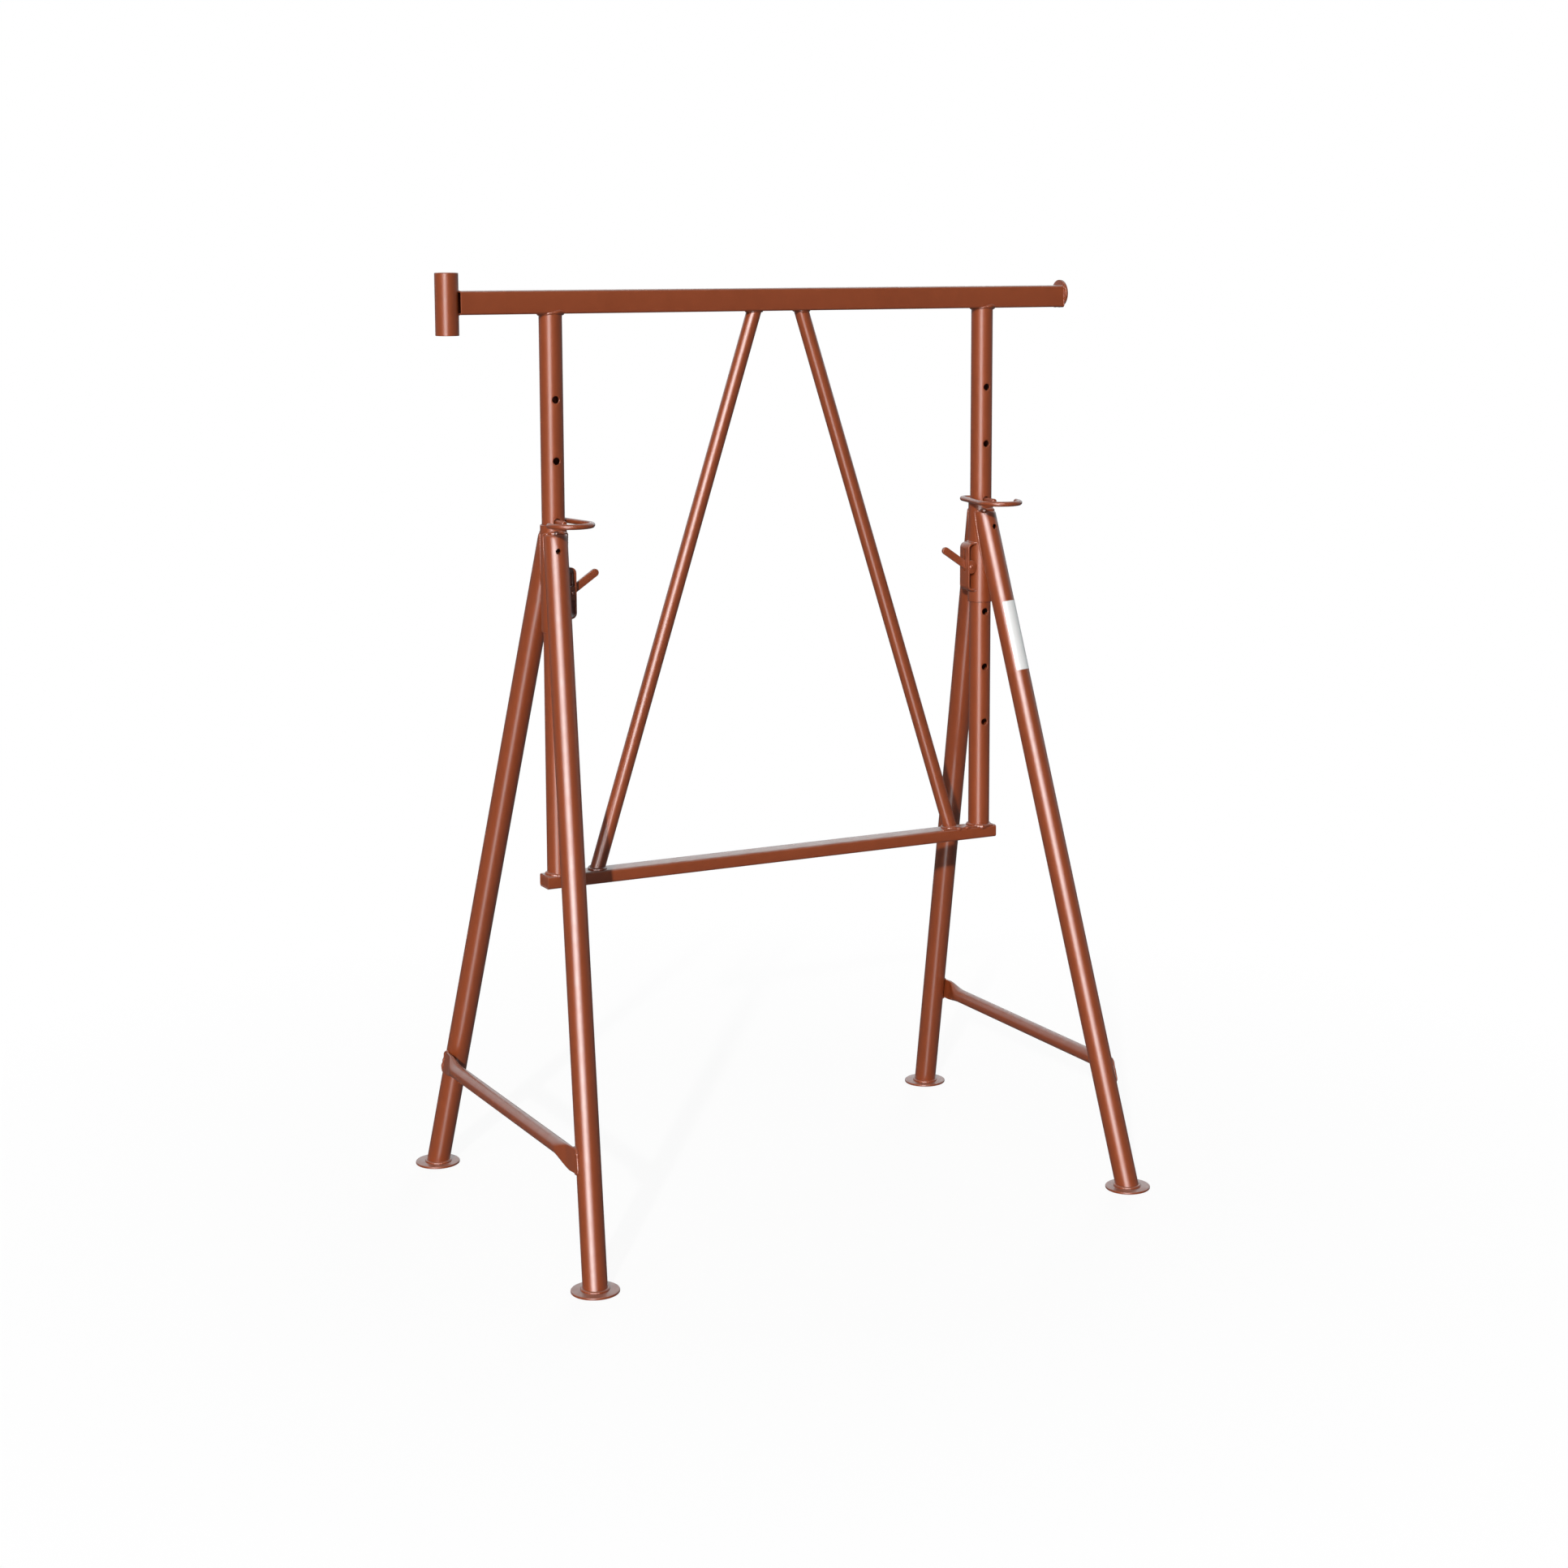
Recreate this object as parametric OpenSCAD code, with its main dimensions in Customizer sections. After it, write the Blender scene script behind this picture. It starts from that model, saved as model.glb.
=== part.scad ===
// Builders trestle: an upper frame with two perforated posts that slide in
// two splayed leg frames, each held by a G-shaped lock pin and a cam lever.
// Millimetres, +Z up, X along the head rail, front of the trestle at -Y.
// The origin lies on the floor under the middle of the whole outline.

/* [Upper frame] */
// Distance between the axes of the two posts
post_spacing = 820; // [700:10:1000]
// Height of the head rail's upper face above the floor
rail_top = 1560; // [1540:10:1640]
// Length of the head rail
rail_length = 1140; // [1060:10:1300]
// Height and width of the square head rail
rail_side = 38; // [34:1:45]
// Wall of the square and round tubes of the upper frame
tube_wall = 2.5; // [2:0.5:3]
// Outer diameter of the posts
post_diameter = 38; // [36:0.5:40]
// Outer diameter of the two braces
brace_diameter = 25; // [20:1:28]
// Distance between the axes of the braces under the head rail
brace_top_gap = 90; // [80:5:160]
// Distance between the axes of the braces at the bottom rail
brace_foot_gap = 690; // [620:10:700]
// Sideways offset of the pair of braces
brace_offset = 5; // [0:1:8]
// Height of the bottom rail's upper face above the floor
low_rail_top = 592; // [560:4:596]
// Height of the flat bottom rail
low_rail_height = 22; // [15:1:30]
// Width of the flat bottom rail
low_rail_width = 38; // [30:1:40]
// How far the bottom rail reaches past each post axis
low_rail_overhang = 26; // [22:1:32]
// Thickness of the bottom rail's end caps
cap_thickness = 3; // [2:0.5:5]

/* [Adjusting holes] */
// Number of holes along each post
hole_count = 7; // [5:1:7]
// Distance between the holes
hole_pitch = 100; // [90:5:100]
// Diameter of the holes
hole_diameter = 12; // [11:0.5:14]
// Height of the hole that holds the lock pin
pin_height = 1183; // [1175:1:1190]
// Number of free holes above the lock pin
holes_above = 2; // [1:1:2]

/* [Rail ends] */
// Outer diameter of the guard-rail socket
socket_diameter = 38; // [34:1:42]
// Bore of the guard-rail socket
socket_bore = 33; // [28:0.5:33]
// Length of the guard-rail socket
socket_length = 100; // [80:5:140]
// How far the socket stands above the head rail
socket_rise = 29; // [10:1:30]
// How deep the socket is let into the end of the head rail
socket_inset = 2; // [1:0.5:4]
// Diameter of the end stop disc
stop_diameter = 48; // [44:1:60]
// Thickness of the end stop disc
stop_thickness = 5; // [3:0.5:8]
// How far the disc's centre lies above the rail's centre
stop_rise = 5; // [0:1:6]

/* [Leg frames] */
// Outer diameter of the sleeves
sleeve_diameter = 44; // [43.6:0.1:45]
// Gap between sleeve and post all round
sleeve_gap = 0.3; // [0.2:0.05:0.5]
// Length of the sleeves
sleeve_length = 178; // [170:1:178]
// Gap between the lock pin and the sleeve's rim
pin_gap = 0.3; // [0.2:0.1:0.6]
// Outer diameter of the legs
leg_diameter = 40; // [36:1:42]
// Wall of the legs
leg_wall = 2.5; // [2:0.5:3]
// Sideways distance of a foot from the post axis
foot_out = 95; // [85:1:105]
// Distance of a foot from the post axis to the front or rear
foot_spread = 354; // [330:2:380]
// Sideways distance of the leg axis from the post axis near its top
leg_top_out = 6; // [4:0.5:8]
// Front or rear distance of the leg axis from the post axis near its top
leg_top_spread = 28; // [27:0.5:31]
// How far the legs end below the sleeve's rim
leg_drop = 14; // [10:1:20]
// Diameter of the vent hole near the top of each leg
vent_diameter = 8.5; // [6:0.5:10]
// Diameter of the foot plates
foot_diameter = 78; // [70:1:90]
// Thickness of the foot plates
foot_thickness = 4; // [3:0.5:6]
// Height of the cross braces above the floor
cross_height = 200; // [160:5:260]
// Outer diameter of the cross braces
cross_diameter = 25; // [20:1:28]
// Thickness of the flattened ends of the cross braces
cross_flat = 5; // [4:0.5:6]
// Height of the flattened ends of the cross braces
cross_flat_height = 39; // [34:1:44]
// Length of the flattened ends of the cross braces
cross_flat_length = 26; // [24:1:40]
// How far the flattened ends reach past the middle of the legs
cross_lap = 5; // [4:0.5:10]

/* [Clamps] */
// Distance of the clamp's pivot below the sleeve's rim
clamp_drop = 114.2; // [110:0.1:118]
// Height of the clamp bracket
bracket_height = 86; // [80:1:90]
// Width of the clamp bracket
bracket_width = 30; // [28:1:32]
// Thickness of the clamp bracket
bracket_thickness = 3; // [3:0.25:4]
// Outer radius of the bracket's bends
bracket_bend = 10; // [8:0.5:12]
// Diameter of the clamp rivet
rivet_diameter = 5; // [5:0.5:6]
// Radius of the lever's cam
cam_radius = 7; // [6.75:0.25:7.25]
// How far the cam's centre lies off the rivet's axis
cam_throw = 1.5; // [1:0.1:1.5]
// Gap between the cam and the post
cam_gap = 0.3; // [0.2:0.1:0.5]
// Thickness of the lever
lever_thickness = 6; // [5:0.5:7]
// Width of the lever
lever_width = 13; // [10:0.5:13]
// Distance from the rivet to the middle of the lever's round tip
lever_length = 54; // [45:1:54]
// Rise of the lever above the horizontal when it is locked
lever_angle = 34; // [30:1:38]
// Swing of the lever from locked to free
lever_swing = 28; // [20:1:28]

/* [Lock pins] */
// Diameter of the round bar of the lock pins
pin_diameter = 9; // [8:0.5:10]
// How far the pin's free end stands in front of the post axis
pin_reach = 48; // [40:1:52]
// Distance from the post axis to the middle of the pin's rear bend
pin_back = 24; // [24:0.5:30]
// Centre-line radius of the pin's rear bend
pin_bend = 11; // [10:0.5:12]
// Centre-line radius of the pin's loop
loop_radius = 36; // [35:1:40]
// Distance of the loop's centre in front of the post axis
loop_front = 66; // [64:1:74]
// Sideways distance of the loop's centre from the post axis
loop_side = 2; // [0:0.5:4]
// Angle through which the loop runs
loop_turn = 195; // [170:5:200]

/* [Hidden] */
$fn = 64;
paint = [0.50, 0.24, 0.16];
half_spacing = post_spacing / 2;
post_r = post_diameter / 2;
rail_bottom = rail_top - rail_side;
socket_r = socket_diameter / 2;
socket_x = -rail_length / 2 - socket_r + socket_inset;
socket_z = rail_top + socket_rise - socket_length;
stop_x = rail_length / 2;
x_shift = -(stop_x + stop_thickness + socket_x - socket_r) / 2;
sleeve_r = sleeve_diameter / 2;
sleeve_bore = post_r + sleeve_gap;
pin_r = pin_diameter / 2;
sleeve_top = pin_height - pin_r - pin_gap;
sleeve_bottom = sleeve_top - sleeve_length;
leg_r = leg_diameter / 2;
leg_top = sleeve_top - leg_drop;
leg_ref_drop = 78.2;
leg_top_ref = sleeve_top - leg_ref_drop;
lean_out = (foot_out - leg_top_out) / leg_top_ref;
lean_side = (foot_spread - leg_top_spread) / leg_top_ref;
vent_z = leg_top - 27;
vent_out = 4;
leg_plug = 12;
leg_run_out = 40;
cross_tilt = atan(lean_out);
cross_out = foot_out - lean_out * cross_height;
cross_end = foot_spread - lean_side * cross_height + cross_lap;
cross_taper = 46;
clamp_height = sleeve_top - clamp_drop;
cam_lead = 30;
pivot_x = post_r + cam_gap + cam_radius + cam_throw * cos(cam_lead);
bracket_in = pivot_x + rivet_diameter / 2 + 0.5;
bracket_out = bracket_in + bracket_thickness;
ear_r = cam_radius + 5;
rivet_play = 0.05;
ear_thickness = 4;
slot_gap = 0.6;
slot_low = 9;
slot_high = (bracket_out - pivot_x + cam_radius + 1) * tan(lever_angle + lever_swing) * 0.9 + 8;
loop_back = pin_back + loop_front;
loop_gap = sqrt(pow(pin_bend - loop_side, 2) + pow(loop_back, 2));
loop_lean = asin((loop_radius - pin_bend) / loop_gap) - atan2(pin_bend - loop_side, loop_back);
bar_lap = 0.8;
bend_swell = 0.06;
loop_leg = sqrt(pow(loop_gap, 2) - pow(loop_radius - pin_bend, 2));

// Puts a child drawn about the middle of the posts onto the origin
module placed() {
    translate([x_shift, 0, 0]) color(paint) children();
}

// Stands a child drawn about a post's axis on its side: -1 left, 1 right
module at_post(side) {
    placed() translate([side * half_spacing, 0, 0]) children();
}

// Turns a child drawn with its inner side at +X towards the middle
module inward(side) {
    mirror([side > 0 ? 1 : 0, 0, 0]) children();
}

// Lays a child drawn along +Z along the line from a to b, a round one's seam to the side
module along(a, b) {
    d = b - a;
    translate(a) rotate([0, acos(d[2] / norm(d)), atan2(d[1], d[0])]) rotate([0, 0, 90]) children();
}

module head_rail() {
    placed() difference() {
        translate([-rail_length / 2, -rail_side / 2, rail_bottom]) cube([rail_length, rail_side, rail_side]);
        translate([-rail_length / 2 - 1, tube_wall - rail_side / 2, rail_bottom + tube_wall])
            cube([rail_length + 2, rail_side - 2 * tube_wall, rail_side - 2 * tube_wall]);
        translate([socket_x, 0, rail_bottom - 1]) cylinder(r = socket_r, h = rail_side + 2);
    }
}

module guardrail_socket() {
    placed() translate([socket_x, 0, socket_z]) difference() {
        cylinder(r = socket_r, h = socket_length);
        translate([0, 0, -1]) cylinder(d = socket_bore, h = socket_length + 2);
    }
}

module end_stop_disc() {
    placed() translate([stop_x, 0, rail_top - rail_side / 2 + stop_rise])
        rotate([0, 90, 0]) cylinder(d = stop_diameter, h = stop_thickness);
}

module post(side) {
    at_post(side) difference() {
        translate([0, 0, low_rail_top]) cylinder(r = post_r, h = rail_bottom - low_rail_top);
        translate([0, 0, low_rail_top - 1])
            cylinder(r = post_r - tube_wall, h = rail_bottom - low_rail_top + 2);
        for (k = [0 : hole_count - 1]) {
            translate([0, 0, pin_height + (holes_above - k) * hole_pitch])
                rotate([90, 0, 0]) cylinder(d = hole_diameter, h = post_diameter + 2, center = true);
        }
    }
}

module left_post() {
    post(-1);
}

module right_post() {
    post(1);
}

module brace(side) {
    top = [brace_offset + side * brace_top_gap / 2, 0, rail_bottom];
    foot = [brace_offset + side * brace_foot_gap / 2, 0, low_rail_top];
    reach = norm(top - foot);
    placed() difference() {
        along(foot, top) translate([0, 0, -20]) difference() {
            cylinder(d = brace_diameter, h = reach + 40);
            translate([0, 0, -1]) cylinder(r = brace_diameter / 2 - tube_wall, h = reach + 42);
        }
        translate([foot[0], 0, low_rail_top - 50]) cube([100, 100, 100], center = true);
        translate([top[0], 0, rail_bottom + 50]) cube([100, 100, 100], center = true);
    }
}

module left_brace() {
    brace(-1);
}

module right_brace() {
    brace(1);
}

module bottom_rail() {
    reach = half_spacing + low_rail_overhang;
    placed() difference() {
        translate([-reach, -low_rail_width / 2, low_rail_top - low_rail_height])
            cube([2 * reach, low_rail_width, low_rail_height]);
        translate([-reach - 1, tube_wall - low_rail_width / 2, low_rail_top - low_rail_height + tube_wall])
            cube([2 * reach + 2, low_rail_width - 2 * tube_wall, low_rail_height - 2 * tube_wall]);
    }
}

module bottom_rail_caps() {
    reach = half_spacing + low_rail_overhang;
    placed() for (x = [-reach, reach - cap_thickness]) {
        translate([x, tube_wall - low_rail_width / 2, low_rail_top - low_rail_height + tube_wall])
            cube([cap_thickness, low_rail_width - 2 * tube_wall, low_rail_height - 2 * tube_wall]);
    }
}

module sleeve(side) {
    at_post(side) inward(side) difference() {
        translate([0, 0, sleeve_bottom]) cylinder(r = sleeve_r, h = sleeve_length);
        translate([0, 0, sleeve_bottom - 1]) cylinder(r = sleeve_bore, h = sleeve_length + 2);
        translate([0, -lever_thickness / 2 - slot_gap, clamp_height - slot_low])
            cube([2 * sleeve_r, lever_thickness + 2 * slot_gap, 2 * slot_low + 4]);
    }
}

module left_sleeve() {
    sleeve(-1);
}

module right_sleeve() {
    sleeve(1);
}

// Point of a leg's axis at height z, for the right rear leg
function leg_point(z) = [foot_out - lean_out * z, foot_spread - lean_side * z, z];

// One leg, drawn at the right rear: side is -1 for left, 1 for right; end is -1 for front, 1 for rear
module leg(side, end) {
    low = leg_point(-leg_run_out);
    high = leg_point(leg_top + leg_run_out);
    reach = norm(high - low);
    at_post(side) mirror([side < 0 ? 1 : 0, 0, 0]) mirror([0, end < 0 ? 1 : 0, 0]) difference() {
        along(low, high) difference() {
            cylinder(r = leg_r, h = reach);
            translate([0, 0, -1]) cylinder(r = leg_r - leg_wall, h = reach - leg_run_out - leg_plug);
        }
        translate([foot_out, foot_spread, foot_thickness - 100]) cube([200, 200, 200], center = true);
        translate([0, 0, leg_top + 50]) cube([200, 200, 100], center = true);
        translate([0, 0, sleeve_bottom - 60]) cylinder(r = sleeve_r, h = sleeve_length + 120);
        translate([leg_point(vent_z)[0] + vent_out, leg_point(vent_z)[1], vent_z])
            rotate([-90, 0, 0]) cylinder(d = vent_diameter, h = leg_diameter);
    }
}

module left_front_leg() {
    leg(-1, -1);
}

module left_rear_leg() {
    leg(-1, 1);
}

module right_front_leg() {
    leg(1, -1);
}

module right_rear_leg() {
    leg(1, 1);
}

module foot(side, end) {
    at_post(side) translate([side * foot_out, end * foot_spread, 0])
        cylinder(d = foot_diameter, h = foot_thickness);
}

module left_front_foot() {
    foot(-1, -1);
}

module left_rear_foot() {
    foot(-1, 1);
}

module right_front_foot() {
    foot(1, -1);
}

module right_rear_foot() {
    foot(1, 1);
}

// Tube with a flattened end at both sides, pressed against the legs' outer faces
module cross_brace(side) {
    inner = cross_end - cross_flat_length;
    round_end = inner - cross_taper;
    mid = leg_r + cross_flat / 2;
    at_post(side) mirror([side < 0 ? 1 : 0, 0, 0])
    translate([cross_out, 0, cross_height]) rotate([0, -cross_tilt, 0]) translate([mid, 0, 0]) {
        difference() {
            rotate([90, 0, 0]) cylinder(d = cross_diameter, h = 2 * round_end, center = true);
            rotate([90, 0, 0])
                cylinder(r = cross_diameter / 2 - 2, h = 2 * round_end - 4, center = true);
            translate([0, 0, -cross_diameter]) cylinder(d = 6, h = cross_diameter);
        }
        for (end = [-1, 1]) {
            hull() {
                translate([0, end * round_end, 0]) rotate([90, 0, 0])
                    cylinder(d = cross_diameter, h = 0.2, center = true, $fn = 32);
                translate([0, end * inner, 0]) cube([cross_flat, 0.2, cross_flat_height], center = true);
            }
            translate([0, end * (inner + cross_flat_length / 2), 0])
                cube([cross_flat, cross_flat_length, cross_flat_height], center = true);
        }
    }
}

module left_cross_brace() {
    cross_brace(-1);
}

module right_cross_brace() {
    cross_brace(1);
}

// Strap bent over the cam, with an ear for the rivet at each edge
module clamp_bracket(side) {
    half = bracket_height / 2;
    bend_in = bracket_bend - bracket_thickness;
    bend_x = bracket_out - bracket_bend;
    at_post(side) inward(side) translate([0, 0, clamp_height]) difference() {
        union() {
            translate([bracket_in, -bracket_width / 2, bracket_bend - half])
                cube([bracket_thickness, bracket_width, bracket_height - 2 * bracket_bend]);
            for (end = [-1, 1]) {
                translate([bend_x, 0, end * (half - bracket_bend)]) rotate([90, 0, 0]) difference() {
                    cylinder(r = bracket_bend, h = bracket_width, center = true);
                    cylinder(r = bend_in, h = bracket_width + 2, center = true);
                    translate([-50, 0, 0]) cube([100, 100, 100], center = true);
                    translate([0, -end * 50, 0]) cube([100, 100, 100], center = true);
                }
                translate([0, -bracket_width / 2, end * (half - bracket_thickness / 2) - bracket_thickness / 2])
                    cube([bend_x, bracket_width, bracket_thickness]);
                intersection() {
                    translate([pivot_x, end * (bracket_width - ear_thickness) / 2, 0]) rotate([90, 0, 0])
                        cylinder(r = ear_r, h = ear_thickness, center = true);
                    translate([0, -50, -50]) cube([bracket_out - 1, 100, 100]);
                }
            }
        }
        translate([0, 0, -half - 1]) cylinder(r = sleeve_r, h = bracket_height + 2);
        translate([pivot_x, 0, 0]) rotate([90, 0, 0])
            cylinder(d = rivet_diameter, h = bracket_width + 2, center = true);
        translate([bracket_in - 1, -lever_thickness / 2 - slot_gap, -slot_low])
            cube([bracket_thickness + 2, lever_thickness + 2 * slot_gap, slot_low + slot_high]);
    }
}

module left_clamp_bracket() {
    clamp_bracket(-1);
}

module right_clamp_bracket() {
    clamp_bracket(1);
}

module clamp_rivet(side) {
    at_post(side) inward(side) translate([pivot_x, 0, clamp_height]) {
        rotate([90, 0, 0]) cylinder(d = rivet_diameter, h = bracket_width, center = true);
        for (end = [-1, 1]) {
            translate([0, end * bracket_width / 2, 0]) rotate([-end * 90, 0, 0]) intersection() {
                translate([0, 0, -3]) sphere(r = rivet_diameter);
                translate([-20, -20, 0]) cube([40, 40, 20]);
            }
        }
    }
}

module left_clamp_rivet() {
    clamp_rivet(-1);
}

module right_clamp_rivet() {
    clamp_rivet(1);
}

// Flat bar with a round tip and a cam that is set off the rivet
module clamp_lever(side) {
    at_post(side) inward(side) translate([pivot_x, 0, clamp_height]) rotate([90, 0, 0])
    linear_extrude(height = lever_thickness, center = true) difference() {
        union() {
            rotate(180 + cam_lead) translate([cam_throw, 0]) circle(r = cam_radius);
            rotate(lever_angle) {
                translate([0, -lever_width / 2]) square([lever_length, lever_width]);
                translate([lever_length, 0]) circle(d = lever_width);
            }
        }
        circle(d = rivet_diameter + 2 * rivet_play);
    }
}

module left_clamp_lever() {
    clamp_lever(-1);
}

module right_clamp_lever() {
    clamp_lever(1);
}

// Part of a ring of round bar, from angle start backwards through turn
module bar_arc(radius, start, turn) {
    rotate([0, 0, start - turn]) rotate_extrude(angle = turn)
        translate([radius, 0]) circle(r = pin_r + bend_swell);
}

module lock_pin(side) {
    at_post(side) inward(side) translate([0, 0, pin_height]) {
        translate([0, pin_back + bar_lap, 0]) rotate([90, 0, 0])
            cylinder(r = pin_r, h = pin_back + pin_reach + bar_lap);
        translate([pin_bend, pin_back, 0]) bar_arc(pin_bend, 180, 180 - loop_lean);
        translate([pin_bend + pin_bend * cos(loop_lean), pin_back + pin_bend * sin(loop_lean), 0])
            rotate([0, 0, loop_lean]) translate([0, bar_lap, 0]) rotate([90, 0, 0])
                cylinder(r = pin_r, h = loop_leg + 2 * bar_lap);
        translate([loop_side, -loop_front, 0]) bar_arc(loop_radius, loop_lean, loop_turn);
    }
}

module left_lock_pin() {
    lock_pin(-1);
}

module right_lock_pin() {
    lock_pin(1);
}

head_rail();
guardrail_socket();
end_stop_disc();
left_post();
right_post();
left_brace();
right_brace();
bottom_rail();
bottom_rail_caps();
left_sleeve();
left_front_leg();
left_rear_leg();
left_front_foot();
left_rear_foot();
left_cross_brace();
left_clamp_bracket();
left_clamp_rivet();
left_clamp_lever();
left_lock_pin();
right_sleeve();
right_front_leg();
right_rear_leg();
right_front_foot();
right_rear_foot();
right_cross_brace();
right_clamp_bracket();
right_clamp_rivet();
right_clamp_lever();
right_lock_pin();
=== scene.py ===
"""Dressed meshes, paint, light and camera of a builders trestle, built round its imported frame.

Metres, +Z up, X along the head rail, front of the trestle at -Y.
"""
import logging
import math
import random
from collections.abc import Callable, Iterator, Sequence
from contextlib import contextmanager
from dataclasses import dataclass, replace
from enum import Enum
from functools import partial, reduce

import bmesh
import bpy
from mathutils import Matrix, Vector


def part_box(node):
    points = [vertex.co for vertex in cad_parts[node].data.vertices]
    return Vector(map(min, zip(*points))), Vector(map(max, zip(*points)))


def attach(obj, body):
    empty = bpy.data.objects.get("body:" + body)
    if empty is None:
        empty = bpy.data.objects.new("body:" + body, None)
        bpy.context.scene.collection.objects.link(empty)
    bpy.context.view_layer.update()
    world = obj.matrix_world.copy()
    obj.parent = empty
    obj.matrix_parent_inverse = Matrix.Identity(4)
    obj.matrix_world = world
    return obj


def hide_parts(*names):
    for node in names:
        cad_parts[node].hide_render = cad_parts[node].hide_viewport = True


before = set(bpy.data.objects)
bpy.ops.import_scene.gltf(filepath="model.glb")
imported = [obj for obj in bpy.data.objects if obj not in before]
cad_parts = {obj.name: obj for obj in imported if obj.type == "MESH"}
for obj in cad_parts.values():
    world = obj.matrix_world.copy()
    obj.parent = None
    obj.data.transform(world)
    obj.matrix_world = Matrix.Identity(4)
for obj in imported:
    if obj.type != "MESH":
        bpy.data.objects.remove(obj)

LOG = logging.getLogger("trestle")
MM = 0.001
QUARTER = math.pi / 2
SHARP_ANGLE = math.radians(38)
MERGE_DISTANCE = 1e-6
NEARLY_ALONG = 0.9
HALVINGS = 40

TUBE_POINTS = 72
HOLE_POINTS = 48
BORE_POINTS = 32
BEAD_POINTS = 12
EDGE_FACES = 3

X_WAY = Vector((1, 0, 0))
Y_WAY = Vector((0, 1, 0))
Z_WAY = Vector((0, 0, 1))

Mesh = bmesh.types.BMesh
Socket = bpy.types.NodeSocket
Tree = bpy.types.NodeTree
Piece = bpy.types.Object
Ring = list[Vector]
Outline = list[tuple[float, float]]
Section = Callable[[float], Outline]
Pair = tuple[float, float]
Triple = tuple[float, float, float]


class Place(Enum):
    """A choice of place whose name is part of the frame's node names; its values are -1 and 1."""

    @property
    def word(self) -> str:
        """The name as the frame's nodes use it."""
        return self.name.lower()

    @property
    def number(self) -> int:
        """0 for the first place and 1 for the second."""
        return (self.value + 1) // 2


class Side(Place):
    """The two ends of the trestle; the value points outwards along X."""

    LEFT = -1
    RIGHT = 1

    @property
    def inward(self) -> int:
        """The sign of X that points to the middle of the trestle."""
        return -self.value


class End(Place):
    """The front and rear leg of a leg frame; the value points along Y."""

    FRONT = -1
    REAR = 1


class Slot(Enum):
    """The record's material slots."""

    FRAME = "frame_paint"
    LEG = "leg_paint"
    HARDWARE = "hardware_paint"
    PIN = "pin_paint"


class Change(Enum):
    """What a tool does to the piece it meets; the value is the modifier's word."""

    CUT = "DIFFERENCE"
    JOIN = "UNION"


@dataclass(frozen=True)
class Axes:
    """A place with three directions of its own."""

    origin: Vector
    u: Vector
    v: Vector
    w: Vector

    @classmethod
    def between(cls, start: Vector, end: Vector) -> "Axes":
        """Axes with w along the line from start to end.

        Args:
            start: Where the axes stand.
            end: The point that w looks at.

        Returns:
            The axes, with u level.
        """
        w = (end - start).normalized()
        u = Y_WAY if abs(w.y) < NEARLY_ALONG else X_WAY
        u = (u - w * u.dot(w)).normalized()
        return cls(start.copy(), u, w.cross(u), w)

    @classmethod
    def upright(cls, x: float, y: float, z: float) -> "Axes":
        """Axes with w up and u along X."""
        return cls(Vector((x, y, z)), X_WAY, Y_WAY, Z_WAY)

    @classmethod
    def along_x(cls, x: float, y: float, z: float) -> "Axes":
        """Axes with w along X and v up."""
        return cls(Vector((x, y, z)), Y_WAY, Z_WAY, X_WAY)

    @classmethod
    def to_front(cls, origin: Vector) -> "Axes":
        """Axes with w towards the trestle's front and v up."""
        return cls(origin, X_WAY, Z_WAY, -Y_WAY)

    def at(self, a: float, b: float, c: float) -> Vector:
        """The point at these distances along u, v and w."""
        return self.origin + self.u * a + self.v * b + self.w * c

    def reach_to(self, height: float) -> float:
        """The distance along w at which the line through the origin is at a height."""
        return (height - self.origin.z) / self.w.z

    def at_height(self, height: float) -> Vector:
        """The point at a height on the line through the origin along w."""
        return self.at(0, 0, self.reach_to(height))

    def ring(self, outline: Outline, reach: float) -> Ring:
        """An outline set square to w at a distance along it."""
        return [self.at(a, b, reach) for a, b in outline]

    def level_ring(self, radius: float, height: float) -> Ring:
        """A round bar of this radius about w, cut by the level plane at a height.

        Args:
            radius: Radius of the bar.
            height: Height of the plane.

        Returns:
            The points of the cut.
        """
        skin = [self.at(a, b, 0) for a, b in circle_outline(radius)]
        return [p + self.w * ((height - p.z) / self.w.z) for p in skin]


def circle_outline(radius: float, count: int = TUBE_POINTS) -> Outline:
    """Points of a circle, counter-clockwise."""
    turns = (2 * math.pi * k / count for k in range(count))
    return [(radius * math.cos(t), radius * math.sin(t)) for t in turns]


def arc(centre: Pair, radius: float, start: float, end: float, steps: int) -> Outline:
    """Points of an arc from one angle to another."""
    turns = (start + (end - start) * k / steps for k in range(steps + 1))
    return [(centre[0] + radius * math.cos(t), centre[1] + radius * math.sin(t)) for t in turns]


def rounding(steps: int, first: int = 0) -> Outline:
    """Points of a rounded edge of unit radius, as their distances in from both of its faces."""
    turns = (QUARTER * k / steps for k in range(first, steps + 1))
    return [(1 - math.cos(t), 1 - math.sin(t)) for t in turns]


def box_outline(width: float, height: float, corner: float, steps: int = 6) -> Outline:
    """Points of a rectangle with round corners, counter-clockwise.

    Args:
        width: Width of the rectangle.
        height: Height of the rectangle.
        corner: Radius of the corners.
        steps: Faces on each corner.

    Returns:
        The points.
    """
    points = []
    for quarter, (sx, sy) in enumerate(((1, 1), (-1, 1), (-1, -1), (1, -1))):
        centre = (sx * (width / 2 - corner), sy * (height / 2 - corner))
        points += arc(centre, corner, QUARTER * quarter, QUARTER * (quarter + 1), steps)
    return points


def round_section(radius: float) -> Section:
    """The section of a round tube.

    Args:
        radius: The tube's outer radius.

    Returns:
        A function that gives the outline grown by a distance.
    """

    def grown(grow: float) -> Outline:
        """The outline, larger by this much all round."""
        return circle_outline(radius + grow)

    return grown


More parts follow.
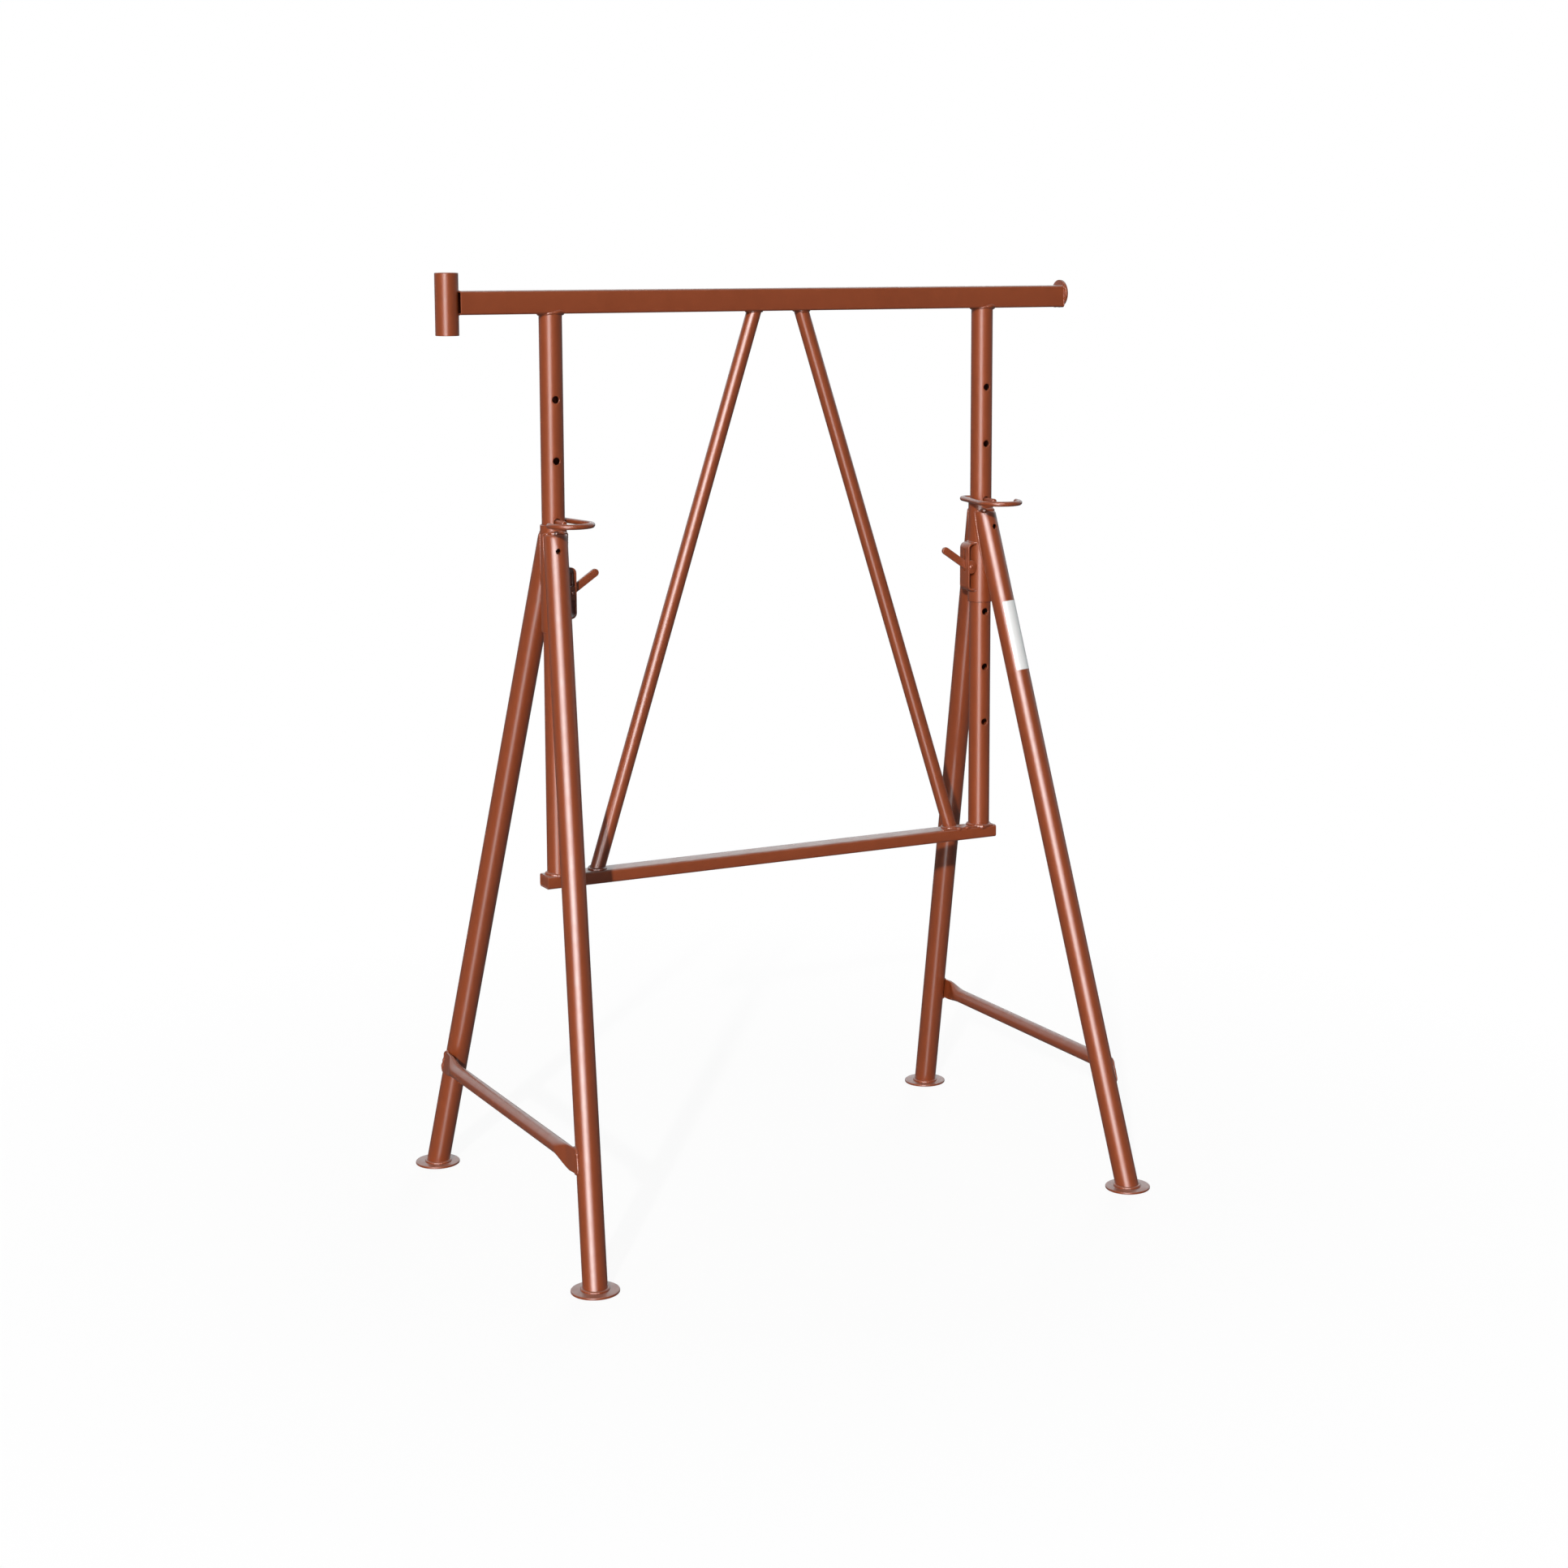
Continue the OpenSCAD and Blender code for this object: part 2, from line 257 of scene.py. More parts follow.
def box_section(width: float, height: float, corner: float) -> Section:
    """The section of a rectangular tube.

    Args:
        width: The tube's outer width.
        height: The tube's outer height.
        corner: Radius of its corners.

    Returns:
        A function that gives the outline grown by a distance.
    """

    def grown(grow: float) -> Outline:
        """The outline, larger by this much all round."""
        return box_outline(width + 2 * grow, height + 2 * grow, corner + grow)

    return grown


def turning_point(holds: Callable[[float], bool], low: float, high: float) -> Pair:
    """Halves a range until the place where a test stops holding is found.

    Args:
        holds: The test, true at the low end and false at the high end.
        low: The low end.
        high: The high end.

    Returns:
        The last place found where the test holds, and the first where it doesn't.
    """
    for _ in range(HALVINGS):
        middle = (low + high) / 2
        if holds(middle):
            low = middle
        else:
            high = middle
    return low, high


def loft(rings: Sequence[Ring], closed: bool = False) -> Mesh:
    """Joins rings of equal length with faces.

    Args:
        rings: The rings in order.
        closed: True joins the last ring to the first, False closes both ends with a face.

    Returns:
        The mesh.
    """
    bm = bmesh.new()
    rows = [[bm.verts.new(p) for p in ring] for ring in rings]
    count = len(rows[0])
    pairs = list(zip(rows, rows[1:]))
    if closed:
        pairs.append((rows[-1], rows[0]))
    for low, high in pairs:
        for k in range(count):
            n = (k + 1) % count
            bm.faces.new((low[k], low[n], high[n], high[k]))
    if not closed:
        bm.faces.new(rows[0][::-1])
        bm.faces.new(rows[-1])
    bmesh.ops.remove_doubles(bm, verts=bm.verts, dist=MERGE_DISTANCE)
    bmesh.ops.recalc_face_normals(bm, faces=bm.faces)
    return bm


def hollow_tube(
    axes: Axes,
    length: float,
    section: Section,
    wall: float,
    lip: float = 0.5 * MM,
    stops: Sequence[float] = (),
) -> Mesh:
    """A tube with a wall and slightly broken edges at both ends.

    Args:
        axes: The tube starts at the origin and runs along w.
        length: Length of the tube.
        section: Gives the tube's outline grown by a distance.
        wall: Thickness of the wall.
        lip: Width of the broken edges.
        stops: Distances at which the wall gets an extra ring of points.

    Returns:
        The mesh.
    """
    along = [lip, *sorted(stops), length - lip]
    rings = [axes.ring(section(0), z) for z in along]
    rings += [axes.ring(section(-lip), length), axes.ring(section(lip - wall), length)]
    rings += [axes.ring(section(-wall), z) for z in reversed(along)]
    rings += [axes.ring(section(lip - wall), 0), axes.ring(section(-lip), 0)]
    return loft(rings, closed=True)


def prism(axes: Axes, outline: Outline, near: float, far: float) -> Mesh:
    """A solid that keeps its outline from one distance along w to another."""
    return loft([axes.ring(outline, near), axes.ring(outline, far)])


def turned(axes: Axes, profile: Outline, count: int = TUBE_POINTS) -> Mesh:
    """A solid turned about w from radius and height pairs."""
    return loft([axes.ring(circle_outline(r, count), z) for r, z in profile])


def plate_profile(radius: float, thickness: float, edge: float, steps: int = 4) -> Outline:
    """Radius and height pairs of a round plate whose rim has rounded edges."""
    rim = arc((radius - edge, edge), edge, -QUARTER, 0, steps)
    return rim + [(r, thickness - z) for r, z in reversed(rim)]


def extruded(axes: Axes, outline: Outline, thickness: float, edge: float) -> Mesh:
    """A flat plate of any outline with rounded edges, centred on the axes' plane.

    Args:
        axes: The outline lies in the plane of u and v.
        outline: The outline's points.
        thickness: Thickness along w.
        edge: Radius of the rounded edges.

    Returns:
        The mesh.
    """
    bm = prism(axes, outline, -thickness / 2, thickness / 2)
    sharp = [e for e in bm.edges if len(e.link_faces) == 2 and e.calc_face_angle(0) > SHARP_ANGLE]
    bmesh.ops.bevel(
        bm, geom=sharp, offset=edge, segments=EDGE_FACES, profile=0.5, affect="EDGES", clamp_overlap=True
    )
    bmesh.ops.recalc_face_normals(bm, faces=bm.faces)
    return bm


def swept(path: Sequence[Vector], radii: Sequence[float], closed: bool, count: int) -> Mesh:
    """A round bar along a path, with its own radius at each point.

    Args:
        path: The points of the centre line.
        radii: The bar's radius at each point.
        closed: True joins the bar's ends.
        count: Points round the bar.

    Returns:
        The mesh.
    """
    last = len(path) - 1
    rings = []
    normal = None
    for k, point in enumerate(path):
        before = path[k - 1] if k or closed else path[0]
        after = path[(k + 1) % len(path)] if k < last or closed else path[last]
        along = (after - before).normalized()
        if normal is None:
            normal = along.orthogonal()
        normal = (normal - along * normal.dot(along)).normalized()
        axes = Axes(point, normal, along.cross(normal), along)
        rings.append(axes.ring(circle_outline(radii[k], count), 0))
    if closed:
        rings.append(matched(rings[-1], rings[0]))
        del rings[0]
    return loft(rings, closed=closed)


def matched(ring: Ring, target: Ring) -> Ring:
    """The target's points, started where they lie nearest to the ring's first point."""
    start = min(range(len(target)), key=lambda k: (target[k] - ring[0]).length)
    return target[start:] + target[:start]


def resampled(path: Sequence[Vector], step: float, closed: bool, fewest: int = 8) -> list[Vector]:
    """Points at equal distances along a path.

    Args:
        path: The path's corner points.
        step: The wanted distance between points.
        closed: True for a path that ends where it starts.
        fewest: The smallest number of steps.

    Returns:
        The new points.
    """
    points = list(path) + ([path[0]] if closed else [])
    lengths = [0.0]
    for a, b in zip(points, points[1:]):
        lengths.append(lengths[-1] + (b - a).length)
    count = max(int(lengths[-1] / step), fewest)
    out = []
    k = 0
    for n in range(count if closed else count + 1):
        s = lengths[-1] * n / count
        while k < len(points) - 2 and lengths[k + 1] < s:
            k += 1
        span = max(lengths[k + 1] - lengths[k], MERGE_DISTANCE * MM)
        out.append(points[k].lerp(points[k + 1], (s - lengths[k]) / span))
    return out


@dataclass(frozen=True)
class Weld:
    """A hand-laid painted weld: faint ripples with a few heavier drops.

    The heights of ripples, drops and jitter are shares of the bead's mean radius.
    """

    radius: float
    lumps: float = 0.3
    least_lump: float = 0.3
    step: float = 0.9 * MM
    ripple: float = 0.1
    ripple_pitch: float = 4.2 * MM
    drop_pitch: float = 20 * MM
    drop_widths: Pair = (2.5 * MM, 6 * MM)
    jitter: float = 0.015
    tip: float = 0.25
    tip_reach: float = 2.5

    def bead(self, path: Sequence[Vector], closed: bool, seed: int) -> Mesh:
        """Lays the weld along a line.

        Args:
            path: The line of the weld.
            closed: True for a weld that runs all round.
            seed: Chooses where the drops lie.

        Returns:
            The mesh.
        """
        draw = random.Random(seed)
        points = resampled(path, self.step, closed)
        length = len(points) * self.step
        drops = []
        for _ in range(int(length / self.drop_pitch) + 1):
            place = draw.uniform(0, length)
            height = self.lumps * draw.uniform(self.least_lump, 1)
            drops.append((place, height, draw.uniform(*self.drop_widths)))
        phase = draw.uniform(0, math.pi)
        radii = []
        for k in range(len(points)):
            s = k * self.step
            wave = abs(math.sin(math.pi * s / self.ripple_pitch + phase))
            swell = sum(h * math.exp(-(((s - at) / width) ** 2)) for at, h, width in drops)
            nearest = min(s, length - s) / (self.tip_reach * self.radius)
            ends = 1.0 if closed else min(1.0, self.tip + nearest)
            noise = draw.uniform(-self.jitter, self.jitter)
            radii.append(self.radius * ends * (1 - self.ripple + self.ripple * wave + swell + noise))
        return swept(points, radii, closed, BEAD_POINTS)


@contextmanager
def opened(mesh: bpy.types.Mesh) -> Iterator[Mesh]:
    """Opens a finished mesh for changes and writes them back.

    Args:
        mesh: The finished mesh.

    Yields:
        The mesh under construction.
    """
    bm = bmesh.new()
    bm.from_mesh(mesh)
    yield bm
    bm.to_mesh(mesh)
    bm.free()


def shade(mesh: bpy.types.Mesh) -> None:
    """Smooth shading with hard edges where faces meet at a clear angle.

    Args:
        mesh: The mesh that is shaded.
    """
    with opened(mesh) as bm:
        for face in bm.faces:
            face.smooth = True
        for edge in bm.edges:
            edge.smooth = len(edge.link_faces) == 2 and edge.calc_face_angle(0) < SHARP_ANGLE


def make_object(name: str, bm: Mesh) -> Piece:
    """Turns a mesh under construction into an object in the scene.

    Args:
        name: The object's name.
        bm: The mesh, which is used up.

    Returns:
        The object.
    """
    mesh = bpy.data.meshes.new(name)
    bm.to_mesh(mesh)
    bm.free()
    shade(mesh)
    obj = bpy.data.objects.new(name, mesh)
    bpy.context.scene.collection.objects.link(obj)
    return obj


def joined(parts: Sequence[Mesh]) -> Mesh:
    """Puts several meshes into one.

    Args:
        parts: The meshes, which are used up.

    Returns:
        The one mesh.
    """
    whole = bmesh.new()
    for part in parts:
        mesh = bpy.data.meshes.new("part")
        part.to_mesh(mesh)
        part.free()
        whole.from_mesh(mesh)
        bpy.data.meshes.remove(mesh)
    return whole


def combine(obj: Piece, tool: Mesh, change: Change) -> None:
    """Cuts a tool out of an object, or joins it on.

    Args:
        obj: The object that is changed.
        tool: The closed mesh it is combined with, which is used up.
        change: What the tool does.
    """
    other = make_object(obj.name + "_tool", tool)
    modifier = obj.modifiers.new("combine", "BOOLEAN")
    modifier.operation = change.value
    modifier.solver = "EXACT"
    modifier.object = other
    graph = bpy.context.evaluated_depsgraph_get()
    result = bpy.data.meshes.new_from_object(obj.evaluated_get(graph))
    obj.modifiers.clear()
    old, spare = obj.data, other.data
    obj.data = result
    result.name = obj.name
    bpy.data.objects.remove(other)
    bpy.data.meshes.remove(old)
    bpy.data.meshes.remove(spare)
    with opened(result) as bm:
        bmesh.ops.remove_doubles(bm, verts=bm.verts, dist=MERGE_DISTANCE)
        bmesh.ops.dissolve_degenerate(bm, edges=bm.edges, dist=MERGE_DISTANCE)
    shade(result)


def split_wide_faces(obj: Piece) -> None:
    """Splits faces of more than four sides into triangles that lie flat.

    Args:
        obj: The object that is changed.
    """
    with opened(obj.data) as bm:
        wide = [face for face in bm.faces if len(face.verts) > 4]
        bmesh.ops.triangulate(bm, faces=wide, quad_method="BEAUTY", ngon_method="BEAUTY")
    shade(obj.data)


def node_middle(node: str) -> Vector:
    """The middle of a frame node's box."""
    low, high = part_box(node)
    return (low + high) / 2


def node_depth(node: str) -> float:
    """The size of a frame node's box along Y."""
    low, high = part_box(node)
    return high.y - low.y


@dataclass(frozen=True)
class Grain:
    """How fine a noise is, how many finer layers it has, and its scale along each axis."""

    scale: float
    detail: float
    stretch: Triple = (1, 1, 1)


class Nodes:
    """Adds and links the nodes of one shader tree."""

    def __init__(self, tree: Tree) -> None:
        """Starts on a tree."""
        self.tree = tree

    def add(self, kind: str, **inputs: object) -> bpy.types.Node:
        """Adds a node and fills its sockets.

        Args:
            kind: The node's type.
            inputs: Socket names, with _ for a space, and a value or a socket to link.

        Returns:
            The node.
        """
        node = self.tree.nodes.new(kind)
        for name, value in inputs.items():
            self.feed(node.inputs[name.replace("_", " ")], value)
        return node

    def feed(self, socket: Socket, value: object) -> None:
        """Links a socket, or sets its value.

        Args:
            socket: The socket.
            value: A value, or a socket to link.
        """
        if isinstance(value, bpy.types.NodeSocket):
            self.tree.links.new(value, socket)
        else:
            socket.default_value = value

    def sum(self, kind: str, operation: str, *terms: object) -> bpy.types.Node:
        """Adds a node that works out a sum on numbers or vectors.

        Args:
            kind: The node's type.
            operation: The sum.
            terms: Values or sockets, in the order of the node's inputs.

        Returns:
            The node.
        """
        node = self.tree.nodes.new(kind)
        node.operation = operation
        for socket, term in zip(node.inputs, terms):
            self.feed(socket, term)
        return node

    def math(self, operation: str, *terms: object) -> Socket:
        """The result of a sum on one or two numbers."""
        return self.sum("ShaderNodeMath", operation, *terms).outputs["Value"]

    def vector_math(self, operation: str, *terms: object) -> Socket:
        """The number that a sum on one or two vectors gives."""
        return self.sum("ShaderNodeVectorMath", operation, *terms).outputs["Value"]

    def plus(self, *terms: object) -> Socket:
        """All the terms added."""
        return reduce(partial(self.math, "ADD"), terms)

    def times(self, *terms: object) -> Socket:
        """All the terms multiplied."""
        return reduce(partial(self.math, "MULTIPLY"), terms)

    def spread(self, value: object, span: Pair, to: Pair = (0.0, 1.0)) -> Socket:
        """A value moved from one range to another, held at the ends.

        Args:
            value: The value.
            span: The ends of the range it comes from.
            to: The ends of the range it goes to.

        Returns:
            The new value.
        """
        node = self.add("ShaderNodeMapRange", Value=value)
        for name, number in zip(("From Min", "From Max", "To Min", "To Max"), (*span, *to)):
            node.inputs[name].default_value = number
        return node.outputs["Result"]

    def blend(self, factor: object, a: object, b: object, how: str = "MIX") -> Socket:
        """Two colours mixed.

        Args:
            factor: The share of the second colour.
            a: The first colour.
            b: The second colour.
            how: The way they mix.

        Returns:
            The mixed colour.
        """
        node = self.tree.nodes.new("ShaderNodeMix")
        node.data_type = "RGBA"
        node.blend_type = how
        names = {"Factor_Float": factor, "A_Color": a, "B_Color": b}
        for socket in node.inputs:
            if socket.identifier in names:
                self.feed(socket, names[socket.identifier])
        return next(socket for socket in node.outputs if socket.identifier == "Result_Color")

    def mix_shaders(self, share: object, a: Socket, b: Socket) -> Socket:
        """Two shaders mixed.

        Args:
            share: The share of the second shader.
            a: The first shader.
            b: The second shader.

        Returns:
            The mixed shader.
        """
        node = self.tree.nodes.new("ShaderNodeMixShader")
        for socket, value in zip(node.inputs, (share, a, b)):
            self.feed(socket, value)
        return node.outputs[0]

    def noise(self, grain: Grain) -> Socket:
        """Noise in the piece's own coordinates.

        Args:
            grain: How fine the noise is.

        Returns:
            The noise's level.
        """
        coords = self.add("ShaderNodeTexCoord").outputs["Object"]
        spot = self.add("ShaderNodeMapping", Vector=coords, Scale=grain.stretch).outputs[0]
        noise = self.add("ShaderNodeTexNoise", Vector=spot, Scale=grain.scale, Detail=grain.detail)
        return noise.outputs["Fac"]


@dataclass
class PaintEffects:
    """The shader groups that the paints share, each a set of noises and the spans they are read over."""

    cloud: Grain = Grain(scale=6, detail=3)
    mottle: Grain = Grain(scale=70, detail=3)
    peel: Grain = Grain(scale=520, detail=1)
    runs: Grain = Grain(scale=90, detail=2, stretch=(1, 1, 0.07))
    cloud_share: float = 0.6
    mottle_share: float = 0.4
    middle_tone: float = 0.5
    tone_swing: float = 2.0
    gloss_span: Pair = (0.3, 0.7)
    mottle_gloss: Pair = (-0.05, 0.06)
    runs_gloss: Pair = (-0.03, 0.05)
    mottle_height: float = 0.5
    runs_height: float = 0.9
    peel_height: float = 0.22
    edge_width: float = 1.6 * MM
    edge_samples: int = 4
    edge_span: Pair = (0.99, 0.86)
    chips: Grain = Grain(scale=160, detail=4)
    chips_span: Pair = (0.5, 0.64)
    scratches: Grain = Grain(scale=300, detail=2, stretch=(1, 1, 0.02))
    scratches_span: Pair = (0.62, 0.72)
    rubbed: Grain = Grain(scale=11, detail=2)
    rubbed_span: Pair = (0.45, 0.65)
    lying_span: Pair = (0.35, 0.95)
    dusty: Grain = Grain(scale=38, detail=4)
    dusty_span: Pair = (0.3, 0.75)
    dusty_levels: Pair = (0.35, 1.0)

    def __post_init__(self) -> None:
        """Builds each group once."""
        self.film = self._film()
        self.wear = self._wear()
        self.rub = self._rub()
        self.dust = self._dust()

    @staticmethod
    def _group(name: str, takes: Sequence[str], gives: Sequence[str]) -> tuple[Nodes, dict, dict]:
        """Starts a group with named sockets, of which those named Colour hold a colour.

        Args:
            name: The group's name.
            takes: Names of its inputs.
            gives: Names of its outputs.

        Returns:
            The nodes, the input sockets by name and the output sockets by name.
        """
        tree = bpy.data.node_groups.new(name, "ShaderNodeTree")
        for way, labels in (("INPUT", takes), ("OUTPUT", gives)):
            for label in labels:
                kind = "NodeSocketColor" if label == "Colour" else "NodeSocketFloat"
                tree.interface.new_socket(name=label, in_out=way, socket_type=kind)
        inner = tree.nodes.new("NodeGroupInput")
        outer = tree.nodes.new("NodeGroupOutput")
        return Nodes(tree), {s.name: s for s in inner.outputs}, {s.name: s for s in outer.inputs}

    def _film(self) -> Tree:
        """Dipped paint: cloudy colour, uneven gloss, orange peel and faint runs.

        Returns:
            The group.
        """
        n, takes, gives = self._group(
            "paint_film", ("Colour", "Roughness", "Unevenness"), ("Colour", "Roughness", "Height")
        )
        cloud, mottle, peel, runs = map(n.noise, (self.cloud, self.mottle, self.peel, self.runs))
        tone = n.plus(n.times(cloud, self.cloud_share), n.times(mottle, self.mottle_share))
        shift = n.times(n.math("SUBTRACT", tone, self.middle_tone), takes["Unevenness"])
        light = n.plus(1.0, n.times(shift, self.tone_swing))
        grey = n.add("ShaderNodeCombineColor", Red=light, Green=light, Blue=light).outputs[0]
        n.feed(gives["Colour"], n.blend(1.0, takes["Colour"], grey, "MULTIPLY"))
        spots = n.spread(mottle, self.gloss_span, self.mottle_gloss)
        streaks = n.spread(runs, self.gloss_span, self.runs_gloss)
        n.feed(gives["Roughness"], n.plus(takes["Roughness"], spots, streaks))
        heights = ((mottle, self.mottle_height), (runs, self.runs_height), (peel, self.peel_height))
        n.feed(gives["Height"], n.plus(*(n.times(*pair) for pair in heights)))
        return n.tree

    def _wear(self) -> Tree:
        """Paint knocked off along outer edges, broken up into chips.

        Returns:
            The group.
        """
        n, takes, gives = self._group("edge_wear", ("Amount",), ("Mask",))
        rounded = n.add("ShaderNodeBevel", Radius=self.edge_width)
        rounded.samples = self.edge_samples
        facing = n.add("ShaderNodeNewGeometry").outputs["Normal"]
        bend = n.vector_math("DOT_PRODUCT", rounded.outputs["Normal"], facing)
        edge = n.spread(bend, self.edge_span)
        chips = n.spread(n.noise(self.chips), self.chips_span)
        n.feed(gives["Mask"], n.times(edge, chips, takes["Amount"]))
        return n.tree

    def _rub(self) -> Tree:
        """Thin upright scratches in patches where one piece slides on another.

        Returns:
            The group.
        """
        n, takes, gives = self._group("slide_rub", ("Amount",), ("Mask",))
        lines = n.spread(n.noise(self.scratches), self.scratches_span)
        patches = n.spread(n.noise(self.rubbed), self.rubbed_span)
        n.feed(gives["Mask"], n.times(lines, patches, takes["Amount"]))
        return n.tree

    def _dust(self) -> Tree:
        """Pale dust on faces that look up, together with painted sheen: upward faces are paled to stand in
        for the bright sky's reflection on them.

        Returns:
            The group.
        """
        n, takes, gives = self._group("settled_dust", ("Amount",), ("Mask",))
        facing = n.add("ShaderNodeNewGeometry").outputs["Normal"]
        up = n.add("ShaderNodeSeparateXYZ", Vector=facing).outputs["Z"]
        # Painted sheen as well as dust: every face that looks up is paled, more so the flatter it lies.
        lying = n.spread(up, self.lying_span)
        patches = n.spread(n.noise(self.dusty), self.dusty_span, self.dusty_levels)
        n.feed(gives["Mask"], n.times(lying, patches, takes["Amount"]))
        return n.tree


@dataclass(frozen=True)
class PaintFinish:
    """A semi-gloss red-brown paint and how it has fared on the pieces that carry it."""

    name: str
    slot: Slot | None
    roughness: float = 0.40
    unevenness: float = 0.14
    edge_wear: float = 0.5
    rub: float = 0.0
    dust: float = 0.2
    bump: float = 0.5
    colour: Triple = (0.238, 0.050, 0.015)
    primer: Triple = (0.30, 0.105, 0.06)
    scuffed: Triple = (0.32, 0.11, 0.06)
    # The pale pink of the dust and of the painted sheen on upward faces.
    dust_colour: Triple = (0.55, 0.45, 0.41)
    wear_dulls: float = 0.22
    dust_dulls: float = 0.25
    chip_depth: float = 0.6
    bump_height: float = 0.12 * MM
    ior: float = 1.5
    coat: float = 0.8
    coat_roughness: float = 0.24

    def material(self, effects: PaintEffects) -> bpy.types.Material:
        """The finish as a material, made on first use.

        Args:
            effects: The shared shader groups.

        Returns:
            The material.
        """
        made = bpy.data.materials.get(self.name)
        if made:
            return made
        made = bpy.data.materials.new(self.name)
        made.use_nodes = True
        n = Nodes(made.node_tree)
        shader = made.node_tree.nodes["Principled BSDF"].inputs
        film = self._effect(
            n, effects.film, Colour=(*self.colour, 1), Roughness=self.roughness, Unevenness=self.unevenness
        )
        wear = self._effect(n, effects.wear, Amount=self.edge_wear)["Mask"]
        rub = self._effect(n, effects.rub, Amount=self.rub)["Mask"]
        dust = self._effect(n, effects.dust, Amount=self.dust)["Mask"]
        colour = n.blend(rub, film["Colour"], (*self.scuffed, 1))
        colour = n.blend(wear, colour, (*self.primer, 1))
        # Pale pink blend on upward faces: partly dust, partly a painted reflection of the sky.
        n.feed(shader["Base Color"], n.blend(dust, colour, (*self.dust_colour, 1)))
        dull = n.plus(n.times(wear, self.wear_dulls), n.times(dust, self.dust_dulls))
        n.feed(shader["Roughness"], n.plus(film["Roughness"], dull))
        height = n.math("SUBTRACT", film["Height"], n.times(wear, self.chip_depth))
        bump = n.add("ShaderNodeBump", Strength=self.bump, Distance=self.bump_height, Height=height)
        n.feed(shader["Normal"], bump.outputs["Normal"])
        shader["IOR"].default_value = self.ior
        shader["Coat Weight"].default_value = self.coat
        shader["Coat Roughness"].default_value = self.coat_roughness
        return made

    @staticmethod
    def _effect(n: Nodes, group: Tree, **inputs: object) -> bpy.types.NodeOutputs:
        """Places a shared group with its own values.

        Args:
            n: The material's nodes.
            group: The shared group.
            inputs: The values by socket name.

        Returns:
            The group's outputs.
        """
        node = n.tree.nodes.new("ShaderNodeGroup")
        node.node_tree = group
        for name, value in inputs.items():
            n.feed(node.inputs[name], value)
        return node.outputs


# The frame gets the most paling on its upward faces: painted sheen on the rails' tops as well as dust.
FRAME_PAINT = PaintFinish("frame_paint_dipped", Slot.FRAME, dust=0.45)
POST_PAINT = PaintFinish("post_paint_rubbed", Slot.FRAME, rub=0.35)
LEG_PAINT = PaintFinish("leg_paint_dipped", Slot.LEG, roughness=0.38, dust=0.25)
CLAMP_PAINT = PaintFinish(
    "clamp_paint_worn",
    Slot.HARDWARE,
    roughness=0.44,
    unevenness=0.2,
    edge_wear=0.8,
    rub=0.15,
    dust=0.3,
    bump=0.6,
)
PIN_PAINT = PaintFinish(
    "pin_paint_handled", Slot.PIN, roughness=0.38, unevenness=0.2, edge_wear=0.7, rub=0.3, bump=0.6
)
FRAME_WELD = PaintFinish(
    "frame_weld_painted", Slot.FRAME, roughness=0.34, unevenness=0.25, edge_wear=0.0, bump=0.9
)
LEG_WELD = replace(FRAME_WELD, name="leg_weld_painted", slot=Slot.LEG)
LEG_FILM = PaintFinish(
    "leg_film_white",
    None,
    roughness=0.42,
    unevenness=0.06,
    edge_wear=0.3,
    rub=0.25,
    dust=0.1,
    bump=0.25,
    colour=(0.8, 0.81, 0.82),
    primer=(0.5, 0.47, 0.44),
    scuffed=(0.58, 0.57, 0.56),
)


@dataclass
class SubAssembly:
    """A group of pieces that ride on the frame's bodies."""

    effects: PaintEffects

    @property
    def body(self) -> str:
        """The body that the pieces ride on unless told otherwise."""
        return "upper_frame"

    def named(self, name: str) -> str:
        """The full name of a piece or a frame node."""
        return name

    def add(self, name: str, bm: Mesh, finish: PaintFinish, *nodes: str) -> None:
        """Makes a piece from its mesh and dresses it on the sub-assembly's own body."""
        self.dress(make_object(self.named(name), bm), self.body, finish, *map(self.named, nodes))

    def dress(self, obj: Piece, body: str, finish: PaintFinish, *nodes: str) -> None:
        """Paints a piece, sets it on its body and lets it stand for frame nodes.

        Args:
            obj: The piece.
            body: The body it rides on.
            finish: Its paint.
            nodes: The frame nodes it replaces.
        """
        obj.data.materials.clear()
        obj.data.materials.append(finish.material(self.effects))
        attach(obj, body)
        if nodes:
            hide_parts(*nodes)
        LOG.info("%s rides on %s, %d faces", obj.name, body, len(obj.data.polygons))


@dataclass
class SidePart(SubAssembly):
    """A sub-assembly that the trestle has at both its ends."""

    side: Side

    @property
    def body(self) -> str:
        """The leg frame of this side."""
        return self.named("leg_frame")

    def named(self, name: str) -> str:
        """The full name of a piece or a frame node on this side."""
        return f"{self.side.word}_{name}"


